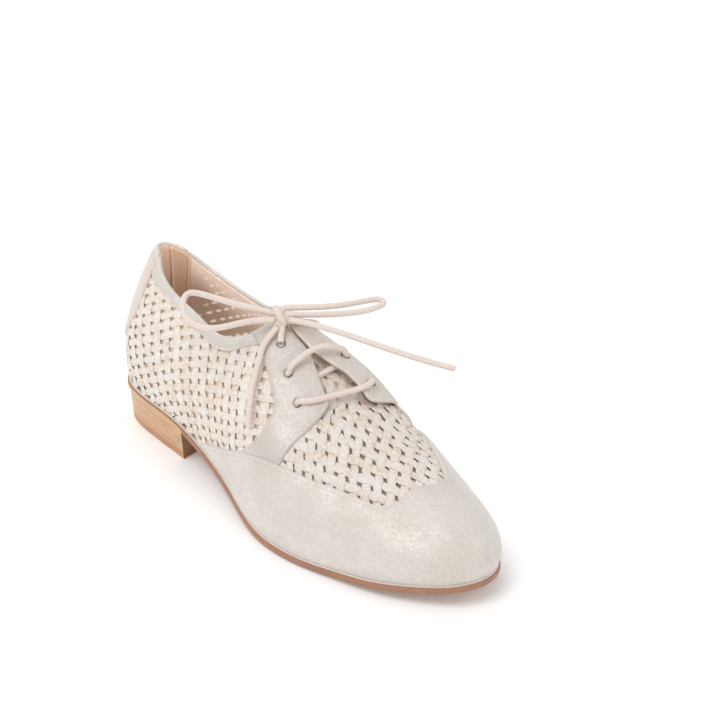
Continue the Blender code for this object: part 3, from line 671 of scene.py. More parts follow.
stripLook = {
    "patch": 560.0,
    "blot": 110.0,
    "shares": (0.62, 0.38, 0.03),   # of patch, blot and a ribbon's own tone in the mottling
    "strand": (0.3, 2.4, 37.0),     # fibre along, across and from ribbon to ribbon
    "fibre": 2.8,
    # share of the mottling and its colour, from bare hide to pale finish
    "mottling": ((0.33, tint(0.78, 0.60, 0.46)), (0.42, tint(0.89, 0.775, 0.66)),
                 (0.50, tint(0.925, 0.865, 0.795)), (0.58, tint(0.95, 0.91, 0.88)),
                 (0.68, tint(0.96, 0.94, 0.93))),
}


def wovenStrip(name, wash):
    made = Finish(name, Sheen_Weight=0.15)
    at = made.place()
    tone = made.attribute("tone")
    along, across, apart = stripLook["strand"]
    strand = made.vector(made.attribute("along") * along, made.attribute("across") * across, tone * apart)
    fibre = made.noise(strand, stripLook["fibre"], 4.0, 0.65)
    patch = made.noise(at, stripLook["patch"], 3.0, 0.6)
    blot = made.noise(at, stripLook["blot"], 2.0, 0.5)
    ofPatch, ofBlot, ofTone = stripLook["shares"]
    mottling = patch * ofPatch + blot * ofBlot + (tone - 0.5) * ofTone
    colour = made.root.add("ShaderNodeValToRGB", {"stops": stripLook["mottling"]}, {0: mottling})
    # wash is an even tint over the ribbon colour; on the vamp's copy it is painted shade
    colour = made.washed(colour, made.shade(fibre, 0.30, 0.66, tint(0.84, 0.80, 0.765), grey(1.03)), wash)
    return made.feed(Base_Color=colour, Normal=made.bump(fibre + patch * 0.8, 0.6, 0.0007),
                     Roughness=fibre.spread(0.3, 0.7, 0.7, 0.52))


def plainLeather(name, base, grainScale, rough, bump, patchScale=60.0):
    made = Finish(name, Roughness=rough)
    at = made.place()
    grain = made.noise(at, grainScale, 4.0, 0.6)
    patch = made.noise(at, patchScale, 2.0)
    colour = made.washed(base, made.shade(grain, 0.3, 0.7, tint(0.88, 0.87, 0.86), grey(1.05)),
                         made.shade(patch, 0.3, 0.7, tint(0.94, 0.93, 0.92), grey(1.04)))
    return made.feed(Base_Color=colour, Normal=made.bump(grain, bump, 0.0004))


# The lining: net cloth with painted light spots where the weave's gaps are and a painted glow, plain leather
# behind the heel.
liningLook = {
    # emission strength of the painted glow, and the share of it on the heel leather
    "lit": 0.52,
    "heelLit": 0.48,
    "net": (5.5, 4.5),    # net threads to a step of the weave, both ways
    "grain": 1600.0,
    "spotShape": (0.5, 2.2),      # narrowness of a painted light spot, along and up
    "spot": (0.08, 0.34, 0.62),   # where it starts to fade, where it ends, and its strength
    "thread": tint(0.82, 0.70, 0.605),
    "hole": tint(0.66, 0.54, 0.45),
    # colour of the painted light spots, in base colour and emission
    "light": tint(0.97, 0.90, 0.83),
    "leather": tint(0.77, 0.56, 0.415),
    # distance to the edge or seam in mm, middle and half width of a line there, its colour
    "lines": (("toEdge", 1.4, 1.6, tint(0.84, 0.64, 0.49)), ("toEdge", 3.1, 0.5, tint(0.55, 0.36, 0.25)),
              ("toEdge", 0.0, 0.5, tint(0.60, 0.42, 0.30)), ("toSeam", 0.0, 0.8, tint(0.40, 0.26, 0.18)),
              ("toSeam", 1.6, 1.2, tint(0.84, 0.63, 0.48))),
}


def liningCloth(name, look):
    made = Finish(name, Roughness=0.75, Emission_Strength=look["lit"])
    across = made.attribute("stepA")
    up = made.attribute("stepC")
    a = made.root.maths("PINGPONG", across, 0.5)
    c = made.root.maths("PINGPONG", up, 0.5)
    near = made.root.maths("SQRT", a * a * look["spotShape"][0] + c * c * look["spotShape"][1])
    # painted light spots at the weave's gaps, where outside light would show through
    light = near.spread(*look["spot"], 0.0) * made.attribute("open")
    net = made.root.maths("MAXIMUM", made.root.maths("PINGPONG", (across + up) * look["net"][0], 0.5),
                          made.root.maths("PINGPONG", (across - up) * look["net"][1], 0.5))
    cloth = made.blend(net.spread(0.2, 0.5), look["hole"], look["thread"])
    grain = made.noise(made.place(), look["grain"], 4.0, 0.6)
    leather = made.washed(look["leather"], made.shade(grain, 0.3, 0.7, tint(0.88, 0.87, 0.86), grey(1.05)))
    for distanceName, middle, half, ink in look["lines"]:
        off = made.root.maths("ABSOLUTE", made.attribute(distanceName) - middle)
        leather = made.blend(off.spread(half * 0.3, half, 1.0, 0.0), leather, ink)
    heel = made.attribute("toEdge").spread(-0.08, 0.08)
    glow = made.attribute("glow")
    dark = grey(0.0)
    colour = made.blend(heel, made.blend(light, cloth, look["light"]), leather)
    # the emission is painted light: a glow near the collar's edge that fades deeper into the shoe, and the
    # light spots
    shine = made.blend(heel, made.blend(light, made.blend(glow, dark, cloth), look["light"]),
                       made.blend(glow * look["heelLit"], dark, leather))
    return made.feed(Base_Color=colour, Emission_Color=shine,
                     Normal=made.bump(net + grain * 0.3, 0.2, 0.0003))


woodLook = {
    "foot": tint(0.60, 0.30, 0.145),
    "wood": tint(0.73, 0.475, 0.27),
    # colour of the painted shade on the heel's breast face
    "dark": tint(0.20, 0.105, 0.055),
    "footHeight": (3.2, 5.4),
    "wander": (60.0, 0.5),      # noise scale, and height in millimetres
    "bands": 1.15,              # to a millimetre of height
    "streaks": (90.0, 90.0, 1700.0),
}


def stackedHeel(name, paintedShade):
    made = Finish(name, Roughness=0.42, Coat_Roughness=0.3)
    at = made.place()
    height = made.root.add("ShaderNodeSeparateXYZ", None, {0: at}, out=2)
    scale, swing = woodLook["wander"]
    level = height * 1000.0 + made.noise(at, scale, 2.0) * swing   # in millimetres
    band = made.noise(made.vector(0.0, 0.0, level * woodLook["bands"]), 1.0, 3.0, 0.7)
    streak = made.noise(made.scaled(at, *woodLook["streaks"]), 1.0, 4.0, 0.6)
    colour = made.washed(made.shade(level, *woodLook["footHeight"], woodLook["foot"], woodLook["wood"]),
                         made.shade(band, 0.35, 0.65, tint(0.80, 0.75, 0.70), tint(1.10, 1.08, 1.06)),
                         made.shade(streak, 0.32, 0.68, tint(0.84, 0.80, 0.76), grey(1.06)))
    # paintedShade blends the wood towards a dark brown: painted shade
    return made.feed(Base_Color=made.blend(paintedShade, colour, woodLook["dark"]),
                     Normal=made.bump(streak + band, 0.25, 0.0003),
                     Coat_Weight=streak.spread(0.3, 0.7, 0.1, 0.3))


laceLook = {"along": 7.0, "across": 9.0, "braid": 0.2, "fuzz": 1500.0}


def laceYarn(name, base):
    made = Finish(name, Roughness=0.6, Sheen_Weight=0.3)
    along = made.attribute("along") * laceLook["along"]
    across = made.attribute("across") * laceLook["across"]
    braid = made.root.maths("SINE", along + across) + made.root.maths("SINE", along - across)
    fuzz = made.noise(made.place(), laceLook["fuzz"], 3.0)
    colour = made.washed(base, made.shade(fuzz, 0.3, 0.7, tint(0.93, 0.91, 0.90), grey(1.03)))
    return made.feed(Base_Color=colour, Normal=made.bump(braid * laceLook["braid"] + fuzz, 0.22, 0.0003))


champagne = suede("champagneSuede", tint(0.655, 0.60, 0.54), tint(0.79, 0.75, 0.705))
# a darker copy of the champagne suede on the outer facing: painted shade that tones down its highlight
shadedFacingSuede = suede("shadedFacingSuede", tint(0.60, 0.55, 0.495), tint(0.73, 0.69, 0.65))
blush = suede("blushSuede", tint(0.73, 0.61, 0.545), tint(0.86, 0.77, 0.71))
# the tongue's suede darkened to grey: painted shade of the throat it lies in
shadedTongueSuede = suede("shadedTongueSuede", tint(0.42, 0.37, 0.34), tint(0.52, 0.47, 0.43))
rawPink = rawEdge("rawPinkEdge", tint(0.78, 0.66, 0.58))
# the vamp's ribbons take a darker tint than the quarter's: painted shade on the same ribbons
stripFinish = {"quarter": wovenStrip("quarterStrip", grey(1.0)),
               "vamp": wovenStrip("shadedVampStrip", tint(0.93, 0.925, 0.92))}
# the lining's outer face seen through the weave's gaps: its tan under the quarter, and a darker copy under
# the vamp that is painted shade
gapLight = plainLeather("underQuarter", tint(0.86, 0.71, 0.57), 1200.0, 0.9, 0.3)
shadedVampGap = plainLeather("underVampShaded", tint(0.36, 0.285, 0.23), 1200.0, 0.9, 0.3)
innerLining = liningCloth("innerLining", liningLook)
soleEdgeLeather = plainLeather("soleEdgeLeather", tint(0.40, 0.20, 0.118), 900.0, 0.45, 0.2)
insoleLeather = plainLeather("insoleLeather", tint(0.55, 0.39, 0.28), 1400.0, 0.6, 0.2)
heelWood = stackedHeel("stackedHeel", 0.0)
# the heel's breast face in a darker copy of the wood: painted shade
shadedBreastWood = stackedHeel("shadedBreastWood", 0.6)
laceCotton = laceYarn("laceCotton", tint(0.80, 0.69, 0.625))
thread = rawEdge("creamThread", tint(0.68, 0.60, 0.53))
print("finishes made")


# Pieces
def showPiece(name, mesh, slotName, *nodes):
    made = bpy.data.objects.new(name, mesh)
    scene.collection.objects.link(made)
    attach(made, "root")
    if nodes:
        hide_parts(*nodes)
    return made


def meshFrom(name, points, faces, materials, which):
    mesh = bpy.data.meshes.new(name)
    mesh.from_pydata(inFrame(points).tolist(), [], [list(map(int, f)) for f in faces])
    for material in materials:
        mesh.materials.append(material)
    mesh.polygons.foreach_set("material_index", np.asarray(which, np.int32))
    mesh.polygons.foreach_set("use_smooth", [True] * len(mesh.polygons))
    mesh.update()
    return mesh


def area(loop):
    ahead = np.roll(loop, -1, axis=0)
    return 0.5 * np.sum(loop[:, 0] * ahead[:, 1] - ahead[:, 0] * loop[:, 1])


def scatterIn(loops, spacing, margin):
    low = loops[0].min(0)
    high = loops[0].max(0)
    rows = []
    for k, y in enumerate(np.arange(low[1], high[1], spacing * 0.87)):   # even triangles
        x = np.arange(low[0] + spacing * 0.5 * (k % 2), high[0], spacing)
        rows.append(np.column_stack([x, np.full(len(x), y)]))
    points = np.vstack(rows)
    points = points[inside(points, loops[0])]
    points = points[distance(points, loops[0]) > margin]
    for hole in loops[1:]:
        points = points[~inside(points, hole)]
        points = points[distance(points, hole) > margin]
    return points


def triangulate(loops, field):
    points = np.vstack(loops + [field])
    edges = []
    start = 0
    for loop in loops:
        edges += [(start + i, start + (i + 1) % len(loop)) for i in range(len(loop))]
        start += len(loop)
    found = delaunay_2d_cdt([Vector(p) for p in points], edges, [], 0, 1e-7)
    origin = [o[0] if o else -1 for o in found[3]]
    faces = np.array([[origin[i] for i in f] for f in found[2]])
    faces = faces[(faces >= 0).all(1)]
    middle = points[faces].mean(1)
    keep = inside(middle, loops[0])
    for hole in loops[1:]:
        keep &= ~inside(middle, hole)
    return faces[keep]


def same(spots):
    return spots


def shell(rim, holes, size, toFlat=flat, toPattern=unflat, toSpots=same):
    # A panel with rounded rims: points, faces, which are outside (0), inside (1) or raw edge (2),
    # and the pattern place of each point.
    loops = [toFlat(rim)] + holes
    loops = [l if (area(l) > 0) == (k == 0) else l[::-1] for k, l in enumerate(loops)]
    rounding = size["rim"]
    margin = max(size["spacing"] * 0.55, rounding[-1][0] + 0.5)   # clear of the rounded rim
    field = scatterIn(loops, size["spacing"], margin)
    faces = triangulate(loops, field)
    points = []
    origins = []
    tops = []
    floors = []
    walls = []
    count = 0
    for loop in loops:
        spots = toSpots(toPattern(loop))
        place, normal = onLast(spots)
        shut = (spots[:, 0] > tip - 1e-6) | ((spots[:, 0] < 1e-6) & (toSpots is same))
        ahead = np.roll(place, -1, axis=0) - np.roll(place, 1, axis=0)
        inward = np.cross(normal, ahead)
        inward /= np.maximum(np.linalg.norm(inward, axis=1), 1e-9)[:, None]
        inward[shut] = 0.0
        rings = []
        top, low = heights(spots, size)
        for shift, drop in rounding:
            tall = low if drop is None else np.maximum(top - np.where(shut, 0.0, drop), low)
            rings.append(np.arange(count, count + len(loop)))
            points.append(place + normal * tall[:, None] + inward * shift)
            origins.append(spots)
            count += len(loop)
        floors.append(rings[0])
        tops.append(rings[-1])
        for k in range(len(rounding) - 1):
            for i in range(len(loop)):
                j = (i + 1) % len(loop)
                if not (shut[i] and shut[j]):
                    walls.append((k, (rings[k][i], rings[k][j], rings[k + 1][j], rings[k + 1][i])))
    spots = toSpots(toPattern(field))
    place, normal = onLast(spots)
    top, low = heights(spots, size)
    for height, index in ((top, tops), (low, floors)):
        index.append(np.arange(count, count + len(field)))
        points.append(place + normal * height[:, None])
        origins.append(spots)
        count += len(field)
    tops = np.concatenate(tops)
    floors = np.concatenate(floors)
    out = [tuple(tops[f]) for f in faces] + [tuple(floors[f[::-1]]) for f in faces]
    which = [0] * len(faces) + [1] * len(faces)
    for k, quad in walls:
        out.append(quad)
        which.append(2 if k == 0 else 0)
    return np.vstack(points), out, np.array(which), np.vstack(origins)


def weld(mesh, reach=0.00002):   # closes a panel that meets itself at the toe or the back seam
    shape = bmesh.new()
    shape.from_mesh(mesh)
    bmesh.ops.remove_doubles(shape, verts=shape.verts, dist=reach)
    shape.to_mesh(mesh)
    shape.free()
    mesh.update()


def circleAt(spot, radius, count=20):
    turn = np.linspace(0.0, 2 * pi, count, endpoint=False)
    return flat(np.array([spot])) + radius * np.column_stack([np.cos(turn), np.sin(turn)])


# rims: inward shift and drop from the top for each ring of points, None at the underside
cutRim = ((0.0, None), (0.0, 0.95), (0.22, 0.42), (0.55, 0.12), (1.1, 0.0))
thickRim = ((0.0, None), (0.0, 0.4), (0.2, 0.12), (0.6, 0.0))
foldRim = ((0.0, None), (0.0, 1.1), (0.25, 0.5), (0.75, 0.12), (1.4, 0.0))
collarSize = {"low": -1.2, "high": 1.8, "rim": foldRim, "spacing": 1.9, "folds": 1.0, "dip": 1.2, "thin": 0.8}
panelSize = {
    "toeCap": {"low": -1.2, "high": 1.7, "rim": cutRim, "spacing": 2.2, "folds": 1.0, "lasted": 1.1},
    "facingL": {"low": -1.2, "high": 1.7, "rim": cutRim, "spacing": 1.9, "folds": 1.0, "under": ("cap",),
                "dip": 1.15, "thin": 0.5},
    "facingM": {"low": -0.5, "high": 1.5, "rim": thickRim, "spacing": 1.9, "folds": 1.0, "under": ("cap",),
                "dip": 1.0, "thin": 0.5, "flare": True},
    "collarL": {"under": ("facingL", "strap"), **collarSize},
    "collarM": {"under": ("facingM", "strap"), **collarSize},
    "strap": {"low": -1.2, "high": 1.7, "rim": foldRim, "spacing": 1.9, "thin": 0.7, "lasted": 0.9},
    "tongue": {"low": -4.0, "high": -2.6, "rim": cutRim, "spacing": 2.4, "sag": True},
    "eyelet": 1.9,
    "tonguePoints": 60,
}
eyelets = {}
for mark in marks:
    eyelets[mark] = [circleAt(spot, panelSize["eyelet"]) for spot in pattern["eyelets" + mark]]
strapMaps = {"toFlat": strapFlat, "toPattern": strapUnflat, "toSpots": strapSpots}
tongueTurns = np.linspace(0.0, len(pattern["tongue"]), panelSize["tonguePoints"], endpoint=False)
tongueRim = spline(pattern["tongue"], True)(tongueTurns)


def addPanel(name, node, kind, rim, finish, edge=None, holes=(), slotName="suede", **maps):
    points, faces, which = shell(rim, list(holes), panelSize[kind], **maps)[:3]
    mesh = meshFrom(name, points, faces, [finish, edge or finish], np.minimum(which, 1))
    weld(mesh)
    return showPiece(name, mesh, slotName, node)


addPanel("toeCap", "toe_cap", "toeCap", capRim, champagne)
addPanel("facingLateral", "facing_lateral", "facingL", facings["L"], shadedFacingSuede, holes=eyelets["L"])
addPanel("facingMedial", "facing_medial", "facingM", facings["M"], champagne, rawPink, eyelets["M"])
addPanel("collarLateral", "collar_lateral", "collarL", collars["L"], champagne)
addPanel("collarMedial", "collar_medial", "collarM", collars["M"], champagne)
addPanel("backStrap", "back_strap", "strap", strapRim, blush, slotName="strap_suede", **strapMaps)
addPanel("tonguePanel", "tongue", "tongue", tongueRim, shadedTongueSuede)
print("suede panels made")


# Geometry Nodes helpers
def openTree(name, inputs):
    tree = bpy.data.node_groups.new(name, "GeometryNodeTree")
    tree.interface.new_socket("Geometry", in_out="INPUT", socket_type="NodeSocketGeometry")
    tree.interface.new_socket("Geometry", in_out="OUTPUT", socket_type="NodeSocketGeometry")
    for label, kind in inputs.items():
        tree.interface.new_socket(label, in_out="INPUT", socket_type="NodeSocket" + kind)
    source = tree.nodes.new("NodeGroupInput")
    return Wire(tree), {s.name: Wire(tree, s) for s in source.outputs if s.name}


def closeTree(root, geometry, material):
    real = root.add("GeometryNodeRealizeInstances", None, {0: geometry})
    soft = root.add("GeometryNodeSetShadeSmooth", None, {0: real})
    done = root.add("GeometryNodeSetMaterial", None, {0: soft, "Material": material})
    root.tree.links.new(done.socket, root.tree.nodes.new("NodeGroupOutput").inputs[0])
    return root.tree


def attributeWire(root, name, kind="FLOAT"):
    return root.add("GeometryNodeInputNamedAttribute", {"data_type": kind}, {"Name": name})


def guideMesh(name, lines):   # polylines with point attributes, in millimetres on the last
    mesh = bpy.data.meshes.new(name)
    edges = []
    start = 0
    for line in lines:
        count = len(line["points"])
        edges += [(i, i + 1) for i in range(start, start + count - 1)]
        start += count
    mesh.from_pydata(inFrame(np.vstack([l["points"] for l in lines])).tolist(), edges, [])
    for key in lines[0]:
        if key == "points":
            continue
        values = np.concatenate([np.asarray(l[key], float) for l in lines])
        vector = values.ndim > 1
        layer = mesh.attributes.new(key, "FLOAT_VECTOR" if vector else "FLOAT", "POINT")
        layer.data.foreach_set("vector" if vector else "value", values.ravel())
    return mesh


def grow(name, guide, tree, values):   # runs a tree over a guide and keeps the plain mesh
    holder = bpy.data.objects.new(name + "Guide", guide)
    scene.collection.objects.link(holder)
    modifier = holder.modifiers.new("grow", "NODES")
    modifier.node_group = tree
    for item in tree.interface.items_tree:
        if item.in_out == "INPUT" and item.name in values:
            modifier[item.identifier] = values[item.name]
    bpy.context.view_layer.update()
    solved = holder.evaluated_get(bpy.context.evaluated_depsgraph_get())
    mesh = bpy.data.meshes.new_from_object(solved)
    mesh.name = name
    bpy.data.objects.remove(holder)
    bpy.data.meshes.remove(guide)
    return mesh


def stripTree():
    root, given = openTree("stripTree", {
        "Width": "Float", "Thickness": "Float", "Lift": "Float", "Ragged": "Float", "Fray": "Float",
        "Sides": "Int", "Material": "Material"})
    curve = root.add("GeometryNodeMeshToCurve", None, {0: given["Geometry"]})
    up = attributeWire(root, "up", "FLOAT_VECTOR")
    curve = root.add("GeometryNodeSetCurveNormal", {"mode": "FREE"}, {0: curve, "Normal": up})
    high = attributeWire(root, "lift") * given["Lift"]
    shift = root.add("ShaderNodeVectorMath", {"operation": "SCALE"}, {0: up, "Scale": high})
    curve = root.add("GeometryNodeSetPosition", None, {0: curve, "Offset": shift})
    ring = root.add("GeometryNodeCurvePrimitiveCircle", None, {"Resolution": given["Sides"], "Radius": 1.0})
    spot = root.add("GeometryNodeInputPosition")
    side = root.add("ShaderNodeSeparateXYZ", None, {0: spot}, out=1)
    ring = root.add("GeometryNodeStoreNamedAttribute", {"data_type": "FLOAT", "domain": "POINT"},
                    {0: ring, "Name": "across", "Value": side})
    size = root.add("ShaderNodeCombineXYZ", None,
                    {0: given["Thickness"] * 0.5, 1: given["Width"] * 0.5, 2: 1.0})
    ring = root.add("GeometryNodeTransform", None, {0: ring, "Scale": size})
    body = root.add("GeometryNodeCurveToMesh", None,
                    {0: curve, "Profile Curve": ring, "Scale": attributeWire(root, "swell"),
                     "Fill Caps": True})
    rough = root.add("ShaderNodeTexNoise", None, {"Scale": given["Fray"], "Detail": 1.0}, out=1)
    rough = root.add("ShaderNodeVectorMath", {"operation": "SUBTRACT"}, {0: rough, 1: (0.5, 0.5, 0.5)})
    rough = root.add("ShaderNodeVectorMath", {"operation": "SCALE"}, {0: rough, "Scale": given["Ragged"]})
    body = root.add("GeometryNodeSetPosition", None, {0: body, "Offset": rough})
    return closeTree(root, body, given["Material"])


def stitchTree():
    root, given = openTree("stitchTree", {"Pitch": "Float", "Length": "Float", "Width": "Float",
                                          "Height": "Float", "Material": "Material"})
    curve = root.add("GeometryNodeMeshToCurve", None, {0: given["Geometry"]})
    curve = root.add("GeometryNodeResampleCurve", {"mode": "LENGTH"}, {0: curve, "Length": given["Pitch"]})
    bead = root.add("GeometryNodeMeshUVSphere", None, {"Segments": 6, "Rings": 5, "Radius": 0.5})
    size = root.add("ShaderNodeCombineXYZ", None, {0: given["Length"], 1: given["Width"], 2: given["Height"]})
    bead = root.add("GeometryNodeTransform", None, {0: bead, "Scale": size})
    turn = root.add("FunctionNodeAxesToRotation", {"primary_axis": "X", "secondary_axis": "Z"},
                    {0: root.add("GeometryNodeInputTangent"), 1: attributeWire(root, "up", "FLOAT_VECTOR")})
    beads = root.add("GeometryNodeInstanceOnPoints", None, {0: curve, "Instance": bead, "Rotation": turn})
    return closeTree(root, beads, given["Material"])


strips = stripTree()
stitches = stitchTree()

# Woven panels: two families of ribbons that pass over and under each other between the gaps
weave = {
    # first gap, steps to the next gap along each family of ribbons, their widths, sideways swing
    "quarter": {"start": (67.4, 29.0), "a": (6.7, 3.8), "c": (2.4, -4.6), "widthA": 3.5, "widthC": 5.0,
                "skew": 0.022},
    "vamp": {"start": (183.5, -20.0), "a": (6.1, 2.9), "c": (4.8, -4.7), "widthA": 4.3, "widthC": 3.9,
             "skew": 0.05},
    "thick": 0.8,
    "lift": 0.32,
    "flatten": 0.35,       # how level a ribbon runs on top of the next
    "ragged": 0.84,
    "fray": 520.0,         # counts per metre of the ragged edge
    "sink": -0.40,         # middle of the weave under the last's surface
    "press": 0.6,          # further down under the panels
    "pressReach": (0.3, -2.2),   # from just outside a panel's rim to under it
    "pressCalm": 0.8,
    "samples": 10,         # points along a ribbon from gap to gap
    "leastPoints": 5,
    "sides": 14,
    "tuck": 4.0,           # how far ribbons run on under a panel
    "topGap": 3.2,
    "vampRows": (6.15, tip - 0.5),
    "vampSole": 0.999,
    "throatRow": pattern["throatEnd"] + 0.02,
    "throatWidth": (-0.25, 0.10),
    "quarterRows": (0.05, 6.0),
    "ridgeGap": 0.1,
    "soleTuck": 0.2,
    "span": (1.0, 255.0),  # from heel to toe
    "reach": 34,
    "stray": 0.02,
    "uneven": 0.05,
    "puff": 0.10,          # wider where a ribbon lies on top
    "seed": 11,
}
rng = np.random.default_rng(weave["seed"])
upperFlat = flat(wholeRim(0.0))


def latticeSpots(points, kind, side):
    row = rowAt(points[:, 0])
    if kind == "vamp":
        return np.column_stack([row, points[:, 1] / girth(row, points[:, 1])])
    return np.column_stack([row, side * (1.0 - points[:, 1] / girth(row, side))])


def between(values, limits):
    return (values > limits[0]) & (values < limits[1])


def ribbonKept(spots, points, kind, side):
    row, at = spots.T
    if kind == "vamp":
        kept = (row > weave["vampRows"][0]) | ((row > weave["throatRow"]) & between(at, weave["throatWidth"]))
        kept &= (row < weave["vampRows"][1]) & (np.abs(at) < weave["vampSole"])
    else:
        kept = between(row, weave["quarterRows"]) & (np.abs(at) > weave["ridgeGap"]) & (side * at > 0)
        kept &= points[:, 1] > -weave["soleTuck"]
    kept &= between(points[:, 0], weave["span"])
    index = np.flatnonzero(kept)
    near = spots[index]
    good = inside(flat(near), upperFlat)
    for name in covers:
        if name != "strap" or kind == "quarter":
            good &= outsideOf(name, near) > -weave["tuck"]
    if kind == "quarter":
        good &= underTopline(near) > weave["topGap"]
    kept[index] &= good
    return kept


def ribbons(kind, side, family):
    size = weave[kind]
    along, other = (np.array(size[key]) for key in ("ac" if family == 0 else "ca"))
    sign = 1.0 if family == 0 else -1.0
    reach = weave["reach"]
    gaps = np.arange(-reach, reach + 1)
    t = np.arange(-reach, reach, 1.0 / weave["samples"])
    swing = size["skew"] * np.sin(2 * pi * t)
    lines = []
    for j in range(-reach, reach):
        stray = np.interp(t, gaps, rng.normal(0.0, weave["stray"], len(gaps))) + swing
        widths = np.interp(t, gaps, 1.0 + rng.normal(0.0, weave["uneven"], len(gaps)))
        tone = rng.uniform(0.0, 1.0)
        points = np.array(size["start"]) + np.outer(t, along) + np.outer(j + 0.5 + stray, other)
        spots = latticeSpots(points, kind, side)
        kept = ribbonKept(spots, points, kind, side)
        wave = sign * np.cos(pi * (t - 0.5 + j))
        wave = wave * (1.0 + weave["flatten"] - weave["flatten"] * wave * wave)
        cuts = np.flatnonzero(np.diff(np.concatenate([[0], kept.astype(int), [0]])))
        for first, end in zip(cuts[::2], cuts[1::2]):
            if end - first < weave["leastPoints"]:
                continue
            part = slice(first, end)
            place, normal = onLast(spots[part])
            cover = np.min([outsideOf(panel, spots[part]) for panel in covers], axis=0)
            under = easeIn(cover, *weave["pressReach"])
            place += normal * (weave["sink"] - weave["press"] * under - sag(spots[part]))[:, None]
            lines.append({
                "points": place, "up": normal, "lift": wave[part] * (1.0 - weave["pressCalm"] * under),
                "swell": widths[part] * (1.0 + weave["puff"] * wave[part]),
                "along": t[part] * np.linalg.norm(along), "tone": np.full(end - first, tone)})
    return lines


def weavePiece(name, kind, side, *nodes):
    parts = []
    for family, width in enumerate((weave[kind]["widthA"], weave[kind]["widthC"])):
        guide = guideMesh(name + "Lines", ribbons(kind, side, family))
        parts.append(grow(name + str(family), guide, strips, {
            "Width": width * mm, "Thickness": weave["thick"] * mm, "Lift": weave["lift"] * mm,
            "Ragged": weave["ragged"] * mm, "Fray": weave["fray"], "Sides": weave["sides"],
            "Material": stripFinish[kind]}))
    both = bmesh.new()
    for part in parts:
        both.from_mesh(part)
    both.to_mesh(parts[0])
    both.free()
    bpy.data.meshes.remove(parts[1])
    parts[0].name = name
    return showPiece(name, parts[0], "weave", *nodes)


weavePiece("weaveVamp", "vamp", 0, "upper")
weavePiece("weaveQuarterLateral", "quarter", -1, "upper")
weavePiece("weaveQuarterMedial", "quarter", 1, "upper")
print("weave made")

# Lining: a thin layer behind the weave, smooth at the heel, net elsewhere
lining = {
    "low": -1.65, "high": -1.15, "rim": ((0.0, None), (0.0, 0.1), (0.1, 0.0)), "spacing": 2.4, "sag": True,
    "down": 0.012,          # its edge under the collar's, as a share of the wall
    "heelEdge": ((0.15, 2.25), (0.227, 2.155), (0.382, 1.754), (0.491, 1.568), (0.596, 1.468), (1.0, 1.3)),
    "seamRow": 0.7,
    "noSeam": 99.0,         # distance on the side without a seam
    "vampFrom": 6.1,
    "latticeRow": 5.9,      # here and near the ridge the vamp's lattice takes over
    "latticePlace": 0.15,
    "glow": (34.0, 4.0),    # how far under the collar's edge the painted glow fades out
    "open": (-1.0, 3.0),    # distance from the panels over which gaps open and the painted light spots show
}
points, faces, which, spots = shell(wholeRim(lining["down"]), [], lining)
row, place = spots[:, 0], np.abs(spots[:, 1])


def latticeSteps():   # ribbon steps from the weave's first gap
    wall = girth(row, spots[:, 1])
    quarter = (row < lining["latticeRow"]) & (place > lining["latticePlace"])
    out = np.zeros((2, len(spots)))
    for kind, here, height in (("quarter", quarter, (1.0 - place) * wall),
                               ("vamp", ~quarter, spots[:, 1] * wall)):
        size = weave[kind]
        flatSpot = np.column_stack([np.interp(row, gridRows, stations), height]) - np.array(size["start"])
        out[:, here] = np.linalg.solve(np.column_stack([size["a"], size["c"]]), flatSpot.T)[:, here]
    return out


middleRow = np.array([row[list(f)].mean() for f in faces])
outer = np.arange(len(faces)) < np.sum(which == 1)
finishOf = np.where(outer, np.where(middleRow < lining["vampFrom"], 0, 1), 2)
mesh = meshFrom("lining", points, faces, [gapLight, shadedVampGap, innerLining], finishOf)
edgePlace, edgeRow = np.transpose(lining["heelEdge"])
layers = {
    "glow": easeIn(underTopline(spots), *lining["glow"]),
    "toEdge": walk(np.interp(place, edgePlace, edgeRow)) - walk(row),
    "toSeam": np.where(spots[:, 1] > 0, walk(row) - walk(lining["seamRow"]), lining["noSeam"]),
    "open": easeIn(np.min([outsideOf(name, spots) for name in covers], axis=0), *lining["open"]),
}
layers["stepA"], layers["stepC"] = latticeSteps()
for name, values in layers.items():
    mesh.attributes.new(name, "FLOAT", "POINT").data.foreach_set("value", values)
weld(mesh)
showPiece("lining", mesh, "insole_leather", "upper")
print("lining made")

# Sole, heel and insole
sole = {
    "rows": 121,
    # how far out from the outline, height over the underside
    "profile": ((-0.5, 0.0), (0.75, 0.12), (1.25, 0.5), (1.4, 1.0), (1.4, 2.7), (1.25, 3.25), (0.72, 3.5),
                (0.55, 4.3), (-0.6, 4.3), (-0.9, 3.7)),
    "suedeFrom": 6,     # the upper's turned edge
    "woodBelow": 4,     # over the heel
    "sharp": 50.0,
    "nudge": 0.01,      # rows to either side that give the outline's direction
}
heelSize = {"breast": 69.0, "hollow": 4.5, "taper": 1.2, "top": 0.3, "gap": 0.3, "lifts": 6, "groove": 0.14,
            "bevel": 0.06, "rows": 60, "breastRows": 23, "sharp": 40.0}


def ring(rows, outset):   # sole outline pushed out: lateral side, then medial side
    both = []
    for at in (rows, 2 * tip - rows):
        way = outline(at + sole["nudge"]) - outline(at - sole["nudge"])
        way /= np.linalg.norm(way, axis=1)[:, None]
        both.append(outline(at) + np.column_stack([way[:, 1], -way[:, 0]]) * outset)
    return both


def wallFaces(loops, turned):   # quads between loops of points that stand over each other
    size = len(loops[0])
    faces = []
    for low in range(0, (len(loops) - 1) * size, size):
        for i in range(size):
            quad = (low + i, low + (i + 1) % size, low + size + (i + 1) % size, low + size + i)
            faces.append((quad[1], quad[0], quad[3], quad[2]) if turned else quad)
    return faces


